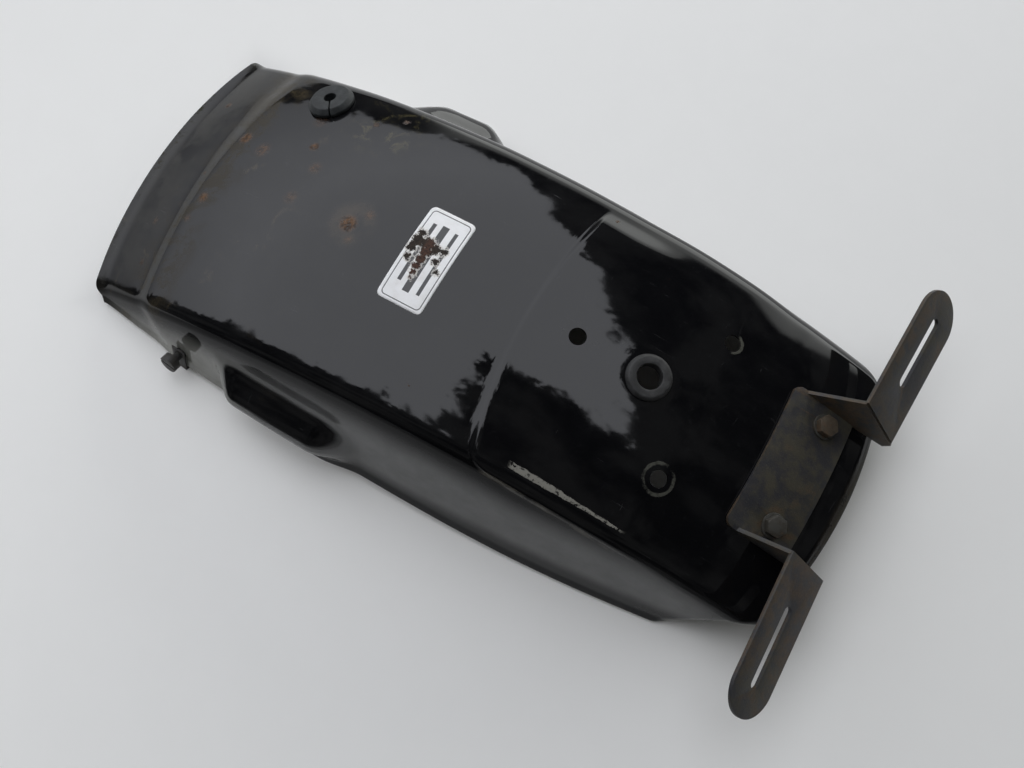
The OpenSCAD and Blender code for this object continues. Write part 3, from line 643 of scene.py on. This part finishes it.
def steel_material(name, base, dirt, rust, rust_amount, rough=0.6, scale=1.0, edge=0.0):
    """Painted or plated steel under dirt, with rust that gathers on its edges."""
    m = Nodes(name)
    mid = m.noise(scale=140 * scale, detail=7, rough=0.65)
    big = m.noise(scale=32 * scale, detail=5, rough=0.6, distort=0.6)
    fine = m.noise(scale=1300 * scale, detail=5, rough=0.65)
    cloud = m.plus(m.times(mid, 0.55), m.times(big, 0.45))
    color = m.mix(m.band(cloud, 0.42, 0.58), base, dirt)
    pale_dirt = tuple(min(1, c * 2.4) for c in dirt)
    color = m.over(color, pale_dirt, m.band(fine, 0.56, 0.72), 0.42)
    patches = m.times(m.band(big, 0.62 - 0.24 * rust_amount, 0.70 - 0.18 * rust_amount),
                      m.band(mid, 0.38, 0.58))
    pointed = m.add("ShaderNodeNewGeometry").outputs["Pointiness"]
    edges = m.times(m.band(pointed, 0.52, 0.58), m.band(mid, 0.35, 0.6))
    dark_rust = tuple(c * 0.55 for c in rust)
    color = m.over(color, m.mix(m.band(fine, 0.35, 0.65), dark_rust, rust),
                   m.most(patches, m.times(edges, edge)), 0.85)
    normal = m.bump(m.plus(m.times(mid, 0.8), m.times(fine, 0.5)), 0.0005, 0.55)
    return m.shader(color, m.mixf(mid, rough - 0.15, rough + 0.2), normal, 0.45)


def rubber_material(name, shade):
    m = Nodes(name)
    mid = m.noise(scale=220, detail=6, rough=0.6)
    fine = m.noise(scale=1500, detail=4, rough=0.6)
    color = m.mix(m.band(mid, 0.35, 0.7), shade, tuple(c * 2.1 + 0.01 for c in shade))
    normal = m.bump(m.plus(mid, m.times(fine, 0.5)), 0.0003, 0.5)
    return m.shader(color, m.mixf(mid, 0.42, 0.7), normal, 0.4)


# label: half sizes, corner radius, place of its middle (arc length, side), all in mm, and its turn
LABEL_HALF_U, LABEL_HALF_V, LABEL_CORNER = 28.0, 13.4, 3.0
LABEL_S, LABEL_Y, LABEL_TURN = -45.0, 0.6, math.radians(-1.0)
LABEL_STRIPS_U, LABEL_STRIPS_V = 56, 28
LABEL_TOP, LABEL_UNDER = 0.16, 0.05
# printed border: distance from the edge, corner radius and half width of its line
BORDER_IN, BORDER_CORNER, BORDER_HALF = 2.0, 2.2, 0.18
# plain bars: height of the middle, half height, and both ends
BARS = ((6.4, 1.0, -19, 16), (0.2, 1.9, -20, 20), (-6.6, 0.9, -19, 19))
# blobs of the torn middle: place and radius
TEARS = ((-7.0, 9.0, 3.4), (-11.5, 9.6, 2.0), (-2.5, 10.2, 2.6), (3.2, 9.4, 1.8), (-7.5, 3.4, 3.6),
         (-3.6, 2.2, 3.2), (-6.4, -1.6, 2.8), (-7.0, -6.0, 2.0), (1.6, 2.4, 2.6), (5.6, 2.6, 2.2),
         (9.0, 2.2, 1.6), (12.0, 1.9, 1.0), (-0.5, -5.2, 1.7), (4.4, -8.4, 1.2))
BROWN_V, BROWN_HALF, BROWN_END = 2.2, 1.6, 3.2
PAPER_WHITE, PAPER_SOILED, PAPER_FIBRE = (0.94, 0.94, 0.94), (0.80, 0.79, 0.77), (0.72, 0.69, 0.64)
INK = (0.012, 0.012, 0.014)
TORN_DARK, TORN_MID, TORN_BROWN = (0.014, 0.011, 0.009), (0.040, 0.028, 0.020), (0.075, 0.036, 0.024)


def border_mask(m, u, v):
    """Line along the label's rounded outline, by the distance to a rounded rectangle."""
    over_u = m.minus(m.math("ABSOLUTE", u), LABEL_HALF_U - BORDER_IN - BORDER_CORNER)
    over_v = m.minus(m.math("ABSOLUTE", v), LABEL_HALF_V - BORDER_IN - BORDER_CORNER)
    outside = m.hypot(m.most(over_u, 0.0), m.most(over_v, 0.0))
    inside = m.least(m.most(over_u, over_v), 0.0)
    line = m.minus(m.plus(outside, inside), BORDER_CORNER)
    return m.under(m.math("ABSOLUTE", line), BORDER_HALF, BORDER_HALF + 0.16)


def bar_mask(m, u, v):
    bars = []
    for height, half, start, end in BARS:
        long_half = (end - start) / 2
        bars.append(m.times(m.under(m.gap(v, height), half, half + 0.2),
                            m.under(m.gap(u, (start + end) / 2), long_half, long_half + 0.2)))
    return m.most(*bars)


def label_material():
    """White paper with a border and plain bars, torn in the middle down to dirty metal."""
    m = Nodes("torn_label")
    uv = m.add("ShaderNodeUVMap").outputs[0]
    u, v = m.split(uv)[:2]
    fine = m.noise(scale=900, detail=4, rough=0.6)
    mid = m.noise(scale=120, detail=6, rough=0.65)
    paper = m.mix(m.band(mid, 0.40, 0.80), PAPER_WHITE, PAPER_SOILED)
    color = m.over(paper, INK, m.most(border_mask(m, u, v), bar_mask(m, u, v)), 0.93)
    ragged = m.wobble(scale=0.45, detail=6, rough=0.78, width=9.0, vector=uv)
    tear = m.least(*[m.minus(m.plus(m.hypot(m.minus(u, at_u), m.minus(v, at_v)), ragged), radius)
                     for at_u, at_v, radius in TEARS])
    bare = m.under(tear, -0.1, 0.15)
    metal = m.mix(m.band(fine, 0.35, 0.65), TORN_DARK, TORN_MID)
    metal = m.over(metal, TORN_BROWN, m.under(m.gap(v, BROWN_V), BROWN_HALF, BROWN_END),
                   m.band(fine, 0.30, 0.60))
    color = m.over(color, PAPER_FIBRE, m.under(tear, 0.6, 1.3), 0.8)
    color = m.mix(bare, color, metal)
    normal = m.bump(m.plus(m.times(bare, -1.0), m.times(mid, 0.2)), 0.0003, 0.6)
    return m.shader(color, m.mixf(bare, 0.42, 0.85), normal, 0.4)


PAINT = paint_material()
UNDER = underside_material()
BRACKET = steel_material("dirty_bracket_steel", base=(0.018, 0.018, 0.021), dirt=(0.038, 0.034, 0.022),
                         rust=(0.080, 0.048, 0.024), rust_amount=0.30, rough=0.50, scale=1.0, edge=0.8)
ZINC = steel_material("tarnished_zinc", base=(0.045, 0.044, 0.038), dirt=(0.028, 0.026, 0.020),
                      rust=(0.080, 0.048, 0.026), rust_amount=0.25, rough=0.5, scale=2.2, edge=0.4)
RUSTY = steel_material("rusted_bolt", base=(0.062, 0.046, 0.028), dirt=(0.034, 0.027, 0.018),
                       rust=(0.090, 0.054, 0.027), rust_amount=0.6, rough=0.6, scale=2.2, edge=0.8)
DARK = steel_material("dark_clip_steel", base=(0.030, 0.030, 0.029), dirt=(0.040, 0.038, 0.032),
                      rust=(0.08, 0.05, 0.03), rust_amount=0.1, rough=0.5, scale=2.0, edge=0.4)
RUBBER = rubber_material("dusty_rubber", (0.016, 0.016, 0.016))
RUBBER_GREY = rubber_material("greyed_rubber", (0.011, 0.013, 0.0135))

# the shell's sheet and the cylinders that cut its holes
CUT_DEPTH, CUT_SIDES = 16, 56
SHELL_SHARP = math.radians(42)


def frame_matrix(s, height, turn=0.0):
    """Local frame on the arch, z out along the surface, in metres of the row."""
    m = Matrix.Translation(Vector(ORIGIN * MM)) @ Matrix.Translation((0, 0, -R * MM))
    m = m @ Matrix.Rotation(-s / R, 4, "Y") @ Matrix.Translation((0, 0, (R + height) * MM))
    if turn:
        m = m @ Matrix.Translation((0, 0, -CROWN_R * MM)) @ Matrix.Rotation(-turn, 4, "X")
        m = m @ Matrix.Translation((0, 0, CROWN_R * MM))
    return m


def skirt_matrix():
    """Local frame at the clip's screw hole in the left skirt."""
    y, n, _ = section(CLIP_S, 3.0)
    m = frame_matrix(CLIP_S, float(n) + CLIP_UP * math.cos(LEAN))
    m = m @ Matrix.Translation((0, (float(y) - CLIP_UP * math.sin(LEAN)) * MM, 0))
    m = m @ Matrix.Rotation(-FACE, 4, "X")
    spin = math.atan2(math.sin(CLIP_S / R) * math.cos(LEAN), math.cos(CLIP_S / R))
    return m @ Matrix.Rotation(spin, 4, "Z")


def sheet_mesh():
    """Points, faces and material numbers of the sheet: its outer skin, its lining and its rim."""
    rows = spread(ROW_STRETCHES, S1)
    half_cols = spread(COL_STRETCHES, 3)[1:]
    cols = np.concatenate([-half_cols[::-1], [0], half_cols])
    side = np.where(cols < 0, -1.0, 1.0)[None]
    s, c = np.meshgrid(rows, np.abs(cols), indexing="ij")
    p = place(s, c)
    y, _, skirt = section(p, c)
    height = relief(s, p, c, skirt, side > 0) + waves(p, y * side, c)
    y, n, _ = section(p, c, height)
    skin = arch(p, y * side, n)
    normal = np.cross(np.gradient(skin, axis=1), np.gradient(skin, axis=0))
    normal /= np.linalg.norm(normal, axis=-1, keepdims=True)
    lining = skin - SHEET * normal
    verts = np.concatenate([skin.reshape(-1, 3), lining.reshape(-1, 3)]) * MM
    top = np.arange(skin[..., 0].size).reshape(skin.shape[:2])
    low = top + top.size
    outer = np.stack([top[:-1, :-1], top[:-1, 1:], top[1:, 1:], top[1:, :-1]], -1).reshape(-1, 4)
    inner = np.stack([low[:-1, :-1], low[1:, :-1], low[1:, 1:], low[:-1, 1:]], -1).reshape(-1, 4)
    rim = np.concatenate([
        np.stack([top[0, :-1], low[0, :-1], low[0, 1:], top[0, 1:]], -1),
        np.stack([top[-1, :-1], top[-1, 1:], low[-1, 1:], low[-1, :-1]], -1),
        np.stack([top[:-1, 0], top[1:, 0], low[1:, 0], low[:-1, 0]], -1),
        np.stack([top[:-1, -1], low[:-1, -1], low[1:, -1], top[1:, -1]], -1)])
    index = [0] * len(outer) + [1] * len(inner) + [0] * len(rim)
    return verts, np.concatenate([outer, inner, rim]), index


def hole_cutter():
    """One object with a cylinder for each hole of the shell."""
    cuts = [(frame_matrix(LAMP - WIRE_AHEAD, 0), WIRE_WAIST),
            (frame_matrix(SLIT_S, 0, -SLIT_SIDE / CROWN_R), SLIT_WAIST),
            (skirt_matrix(), SCREW_HOLE)]
    for side in (-1, 1):
        cuts.append((frame_matrix(BOLT_S, 0, side * BOLT_SIDE / CROWN_R), BOLT_HOLE))
    for k in range(LAMP_HOLES):
        turn = Matrix.Rotation(2 * math.pi * k / LAMP_HOLES, 4, "Z")
        at = turn @ Matrix.Translation((CIRCLE / 2 * MM, 0, 0))
        cuts.append((frame_matrix(LAMP, 0) @ at, LAMP_HOLE))
    cylinders = bmesh.new()
    for matrix, wide in cuts:
        bmesh.ops.create_cone(cylinders, cap_ends=True, segments=CUT_SIDES, radius1=wide / 2 * MM,
                              radius2=wide / 2 * MM, depth=CUT_DEPTH * MM, matrix=matrix)
    mesh = bpy.data.meshes.new("cutters")
    cylinders.to_mesh(mesh)
    cylinders.free()
    mesh.materials.append(PAINT)
    cutter = bpy.data.objects.new("cutters", mesh)
    bpy.context.scene.collection.objects.link(cutter)
    return cutter


def make_shell():
    verts, faces, index = sheet_mesh()
    shell = new_object("pressed_shell", verts, faces, [PAINT, UNDER], index)
    cutter = hole_cutter()
    holes = shell.modifiers.new("holes", "BOOLEAN")
    holes.operation = "DIFFERENCE"
    holes.solver = "EXACT"
    holes.object = cutter
    apply_all(shell)
    cutter_mesh = cutter.data
    bpy.data.objects.remove(cutter)
    bpy.data.meshes.remove(cutter_mesh)
    shell.data.polygons.foreach_set("use_smooth", [True] * len(shell.data.polygons))
    shell.data.set_sharp_from_angle(angle=SHELL_SHARP)
    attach(shell, "root")
    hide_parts("fender_shell")


make_shell()

# rounded copies of the solids: distance that welds points, largest turn that counts as flat,
# smallest turn of an edge that is rounded, and smallest turn that stays sharp to the eye
WELD = 2e-6
FLAT_TURN, ROUNDED_TURN, SHARP_TURN = math.radians(0.6), math.radians(32), math.radians(50)
BEVEL_SEGMENTS = 3
# the slit of the ring on the shoulder lies as in the photo when its copy is turned so
SLIT_TURN = math.radians(-143)


def dressed(node, name, material, width, turned=None):
    """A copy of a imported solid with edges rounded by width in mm, and its own material."""
    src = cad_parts[node]
    bm = bmesh.new()
    bm.from_mesh(src.data)
    bm.transform(src.matrix_world)
    if turned is not None:
        bm.transform(turned)
    bmesh.ops.remove_doubles(bm, verts=bm.verts, dist=WELD)
    bmesh.ops.dissolve_limit(bm, angle_limit=FLAT_TURN, verts=bm.verts, edges=bm.edges)
    mesh = bpy.data.meshes.new(name)
    bm.to_mesh(mesh)
    bm.free()
    mesh.materials.clear()
    mesh.materials.append(material)
    mesh.polygons.foreach_set("use_smooth", [True] * len(mesh.polygons))
    obj = bpy.data.objects.new(name, mesh)
    bpy.context.scene.collection.objects.link(obj)
    bevel = obj.modifiers.new("soften", "BEVEL")
    bevel.width = width * MM
    bevel.segments = BEVEL_SEGMENTS
    bevel.limit_method = "ANGLE"
    bevel.angle_limit = ROUNDED_TURN
    bevel.use_clamp_overlap = True
    bevel.harden_normals = False
    apply_all(obj)
    obj.data.set_sharp_from_angle(angle=SHARP_TURN)
    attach(obj, "root")
    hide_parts(node)


dressed("plate_bracket", "folded_bracket", BRACKET, width=0.8)
for hand, bolt_steel in (("left", ZINC), ("right", RUSTY)):
    dressed("bracket_bolt_" + hand, "hex_bolt_" + hand, bolt_steel, width=0.45)
    dressed("bolt_washer_" + hand, "washer_" + hand, ZINC, width=0.2)
    dressed("nut_washer_" + hand, "inner_washer_" + hand, ZINC, width=0.2)
    dressed("bracket_nut_" + hand, "hex_nut_" + hand, ZINC, width=0.4)
dressed("edge_clip", "spring_clip", DARK, width=0.25)
dressed("clip_screw", "slotted_screw", DARK, width=0.5)
dressed("lamp_cable_grommet", "rubber_ring", RUBBER, width=0.8)
ring_axis = frame_matrix(SLIT_S, 0, -SLIT_SIDE / CROWN_R)
dressed("slit_grommet", "split_rubber_ring", RUBBER_GREY, width=0.9,
        turned=ring_axis @ Matrix.Rotation(SLIT_TURN, 4, "Z") @ ring_axis.inverted())


def surface_point(s, y, lift):
    """Point at a height of lift over the dressed shell's crown, in mm."""
    # no skirt height is needed on the crown, so any height over the bead's does
    skirt = 40.0
    c = abs(y) / float(crown_half(s))
    height = float(relief(s, s, np.array(c), np.array(skirt), y >= 0) + waves(s, y, c))
    side, n, _ = section(s, c, height + lift)
    return arch(np.array(float(s)), math.copysign(float(side), y), float(n))


def rounded_corner(u, v):
    """A point of the label's grid, pulled in where it lies past a rounded corner."""
    over_u = abs(u) - (LABEL_HALF_U - LABEL_CORNER)
    over_v = abs(v) - (LABEL_HALF_V - LABEL_CORNER)
    reach = math.hypot(over_u, over_v)
    if over_u <= 0 or over_v <= 0 or reach <= LABEL_CORNER:
        return u, v
    shrink = LABEL_CORNER / reach
    return (math.copysign(LABEL_HALF_U - LABEL_CORNER + over_u * shrink, u),
            math.copysign(LABEL_HALF_V - LABEL_CORNER + over_v * shrink, v))


def label_points():
    """Points of the label's upper and lower side, and the label's own u and v of each, in mm."""
    pts, uvs = [], []
    for lift in (LABEL_TOP, LABEL_UNDER):
        for u in np.linspace(-LABEL_HALF_U, LABEL_HALF_U, LABEL_STRIPS_U + 1):
            for v in np.linspace(-LABEL_HALF_V, LABEL_HALF_V, LABEL_STRIPS_V + 1):
                uu, vv = rounded_corner(u, v)
                s = LABEL_S - (vv * math.cos(LABEL_TURN) - uu * math.sin(LABEL_TURN))
                y = LABEL_Y + (uu * math.cos(LABEL_TURN) + vv * math.sin(LABEL_TURN))
                pts.append(surface_point(s, y, lift) * MM)
                uvs.append((uu, vv))
    return pts, uvs


def make_label():
    pts, uvs = label_points()
    grid = np.arange((LABEL_STRIPS_U + 1) * (LABEL_STRIPS_V + 1))
    grid = grid.reshape(LABEL_STRIPS_U + 1, LABEL_STRIPS_V + 1)
    quads = np.stack([grid[:-1, :-1], grid[1:, :-1], grid[1:, 1:], grid[:-1, 1:]], -1).reshape(-1, 4)
    loop = np.concatenate([grid[:, 0], grid[-1, 1:], grid[-2::-1, -1], grid[0, -2:0:-1]])
    ahead = np.roll(loop, -1)
    rim = np.stack([ahead, loop, loop + grid.size, ahead + grid.size], -1)
    faces = np.concatenate([quads, quads[:, ::-1] + grid.size, rim])
    label = new_object("paper_label", pts, faces.tolist(), [label_material()])
    layer = label.data.uv_layers.new(name="UVMap")
    for corner in label.data.loops:
        layer.data[corner.index].uv = uvs[corner.vertex_index]
    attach(label, "root")


make_label()

# the floor ends beyond the fender's left side, so that the skirt mirrors a darker room there
FLOOR_OUTLINE = ((-4, -4), (4, -4), (4, 0.42), (0.23, 0.42), (-0.08, 0.25), (-4, 0.25))
# the floor's dim and bright colours are a painted falloff of the light across it
FLOOR_DIM, FLOOR_BRIGHT, FLOOR_GRAIN = (0.765, 0.762, 0.738), (0.885, 0.882, 0.858), (0.70, 0.70, 0.68)
FLOOR_SPECK = (0.16, 0.15, 0.14)
GLOW_DIM, GLOW_BRIGHT = (0.02, 0.02, 0.02), (0.12, 0.12, 0.12)
# footprint of the fender, with no glow, so the floor under and round it stays darker as a painted shadow:
# middle and half sizes, and the width over which it fades
FOOT_X, FOOT_HALF_X, FOOT_HALF_Y, FOOT_FADE = 0.10, 0.20, 0.075, 0.03
# painted light falloff: the floor's colour gets brighter along this direction, between these distances from
# the origin
FALLOFF_ALONG_X, FALLOFF_ALONG_Y, FALLOFF_SPAN = 0.7, -0.35, (-0.30, 0.30)
SPECK_R, SPECK_END = 0.004, 0.012


def floor_material():
    m = Nodes("pale_floor")
    x, y, _ = m.split()[:3]
    # painted light falloff: the floor's colour brightens towards the front and the right
    painted_falloff = m.band(m.scaled(x, FALLOFF_ALONG_X, m.times(y, FALLOFF_ALONG_Y)), *FALLOFF_SPAN)
    grain = m.noise(scale=40, detail=5, rough=0.6)
    color = m.mix(painted_falloff, FLOOR_DIM, FLOOR_BRIGHT)
    color = m.over(color, FLOOR_GRAIN, m.band(grain, 0.35, 0.65), 0.05)
    specks = m.times(m.under(m.voronoi(26.0), SPECK_R, SPECK_END),
                     m.band(m.noise(scale=5.0, detail=2, rough=0.55), 0.50, 0.56))
    color = m.over(color, FLOOR_SPECK, specks, 0.75)
    m.shader(color, 0.9, m.bump(grain, 0.0003, 0.2), 0.1)
    # the backdrop is a little brighter to the camera and in reflections, but not under the fender, which
    # leaves a painted shadow there
    path = m.add("ShaderNodeLightPath").outputs
    seen = m.most(path["Is Camera Ray"], path["Is Glossy Ray"], path["Is Transmission Ray"])
    out_x = m.minus(m.gap(x, FOOT_X), FOOT_HALF_X)
    out_y = m.minus(m.math("ABSOLUTE", y), FOOT_HALF_Y)
    glow = m.add("ShaderNodeEmission")
    m.link(m.mix(painted_falloff, GLOW_DIM, GLOW_BRIGHT), glow.inputs["Color"])
    m.put(glow.inputs["Strength"], m.times(seen, m.band(m.most(out_x, out_y), 0.0, FOOT_FADE)))
    both = m.add("ShaderNodeAddShader")
    end = [node for node in m.tree.nodes if node.type == "OUTPUT_MATERIAL"][0].inputs["Surface"]
    m.link(end.links[0].from_socket, both.inputs[0])
    m.link(glow.outputs[0], both.inputs[1])
    m.link(both.outputs[0], end)
    return m.owner


floor = new_object("floor", [(x, y, FLOOR) for x, y in FLOOR_OUTLINE], [range(len(FLOOR_OUTLINE))],
                   [floor_material()], smooth=False)

# tones of the room: the ceiling light, its shaded end, the dark and pale walls, and below the horizon
LIGHT, LIGHT_END = (1.75, 1.79, 1.90), (0.0, 0.0, 0.0)
WALL_DARK, WALL_GREY, WALL_PALE = (0.02, 0.02, 0.02), (0.11, 0.11, 0.108), (2.45, 2.50, 2.45)
LOW_DARK, LOW_PALE = (0.06, 0.06, 0.06), (0.62, 0.62, 0.61)
BACKGROUND = (0.70, 0.70, 0.69, 1)
# straight sides of the ceiling light, each as a, b and c of a*u + b*v + c, above zero inside
NEAR_SIDE, NEAR_END, NEAR_LIMIT = (0.0, -1.0, -0.01), (1.0, 0.0, -0.085), (0.0, -1.0, 0.195)
BACK_SIDE, BACK_CORNER, FAR_SIDE = (0.906, 0.423, 0.154), (0.696, 0.719, 0.2366), (0.0, 1.0, 0.53)
# places here are parts of a direction of length 1; the light's rim is uneven and slightly soft
RIM_SOFT, RIM_BROAD, RIM_CLOSE = (-0.004, 0.006), 0.10, 0.04
# the pale wall's top slopes to the tail, more so past a corner, and to the front
WALL_BACK_SLOPE, WALL_CORNER_X, WALL_CORNER_SLOPE, WALL_FRONT_SLOPE = 0.27, -0.5, 1.2, 0.30
WALL_RIM, WALL_BODY, WALL_RIM_SHARE = (0.578, 0.545), (0.56, 0.40), 0.40
WALL_Y, WALL_X = (-0.15, -0.40), (0.60, 0.42)
HORIZON, LOW_PALE_Y = (-0.02, -0.06), (0.10, -0.15)
LIGHT_RISE, LIGHT_AT_HORIZON = 1.40, 0.25
# the chart of the room stays finite down to this height
CHART_LOWEST = -0.8


def pale_wall_mask(w, dx, dy, dz):
    """Pale lower wall on the machine's right, whose top slopes towards both ends."""
    height = w.minus(dz, w.times(w.least(dx, 0.0), WALL_BACK_SLOPE))
    height = w.minus(height, w.times(w.least(w.minus(dx, WALL_CORNER_X), 0.0), WALL_CORNER_SLOPE))
    height = w.plus(height, w.times(w.most(dx, 0.0), WALL_FRONT_SLOPE))
    low = w.plus(w.band(height, *WALL_RIM, 0.0, WALL_RIM_SHARE),
                 w.band(height, *WALL_BODY, 0.0, 1 - WALL_RIM_SHARE))
    return w.times(low, w.times(w.band(dy, *WALL_Y), w.band(dx, *WALL_X)))


def sky():
    """A pale ceiling light with an uneven edge, in a darker room."""
    w = Nodes("soft_room", world=True)
    co = w.add("ShaderNodeTexCoord").outputs["Generated"]
    dx, dy, dz = w.split(co)[:3]
    # u and v are the direction on a flat chart of the room, in which straight sides stay simple
    shrink = w.plus(w.most(dz, CHART_LOWEST), 1.0)
    u = w.math("DIVIDE", dx, shrink)
    v = w.math("DIVIDE", dy, shrink)

    def side(line):
        a, b, c = line
        return w.plus(w.scaled(u, a, c), w.times(v, b))

    near_end = w.least(w.most(side(NEAR_SIDE), side(NEAR_END)), side(NEAR_LIMIT))
    inside = w.least(near_end, w.least(side(BACK_SIDE), side(BACK_CORNER)), side(FAR_SIDE))
    jag = w.plus(w.wobble(scale=14.0, detail=3, rough=0.6, width=RIM_BROAD, vector=co),
                 w.wobble(scale=46.0, detail=2, rough=0.5, width=RIM_CLOSE, vector=co))
    light = w.band(w.plus(inside, jag), *RIM_SOFT)
    cloud = w.noise(scale=4.0, detail=4, rough=0.6, vector=co)
    wall = w.mix(w.band(cloud, 0.38, 0.62), WALL_DARK, WALL_GREY)
    wall = w.mix(pale_wall_mask(w, dx, dy, dz), wall, WALL_PALE)
    # the light fades towards the horizon
    fade = w.math("MULTIPLY_ADD", dz, LIGHT_RISE, LIGHT_AT_HORIZON, clamp=True)
    color = w.mix(light, wall, w.mix(fade, LIGHT_END, LIGHT))
    # below the horizon the room is dark beyond the machine's left side
    below = w.mix(w.band(dy, *LOW_PALE_Y), LOW_DARK, LOW_PALE)
    color = w.mix(w.band(dz, *HORIZON), color, below)
    room = w.add("ShaderNodeBackground")
    w.link(color, room.inputs["Color"])
    room.inputs["Strength"].default_value = 1.0
    pale = w.add("ShaderNodeBackground")
    pale.inputs["Color"].default_value = BACKGROUND
    mixer = w.add("ShaderNodeMixShader")
    w.link(w.add("ShaderNodeLightPath").outputs["Is Camera Ray"], mixer.inputs[0])
    w.link(room.outputs[0], mixer.inputs[1])
    w.link(pale.outputs[0], mixer.inputs[2])
    w.link(mixer.outputs[0], w.add("ShaderNodeOutputWorld").inputs["Surface"])
    return w.owner


bpy.context.scene.world = sky()

# camera of the photograph, fitted to its outline and holes: turns in radians, place in mm from the
# crown's top, and focal length in pixels of the photograph
TURN_X, TURN_Y, TURN_Z = 0.255, 0.162, 2.646
CAMERA_AT = np.array([-122.46, 186.212, 571.015]) + ORIGIN
FOCAL_PX, PHOTO_WIDTH_PX, SENSOR = 1230.85, 1024, 36.0


def make_camera():
    turn = (Matrix.Rotation(TURN_Z, 4, "Z") @ Matrix.Rotation(TURN_Y, 4, "Y")
            @ Matrix.Rotation(TURN_X, 4, "X"))
    data = bpy.data.cameras.new("camera")
    data.sensor_width = SENSOR
    data.lens = FOCAL_PX * SENSOR / PHOTO_WIDTH_PX
    camera = bpy.data.objects.new("camera", data)
    camera.matrix_world = Matrix.Translation(Vector(CAMERA_AT * MM)) @ turn.transposed()
    bpy.context.scene.collection.objects.link(camera)
    bpy.context.scene.camera = camera


make_camera()
bpy.context.scene.view_settings.view_transform = "Standard"
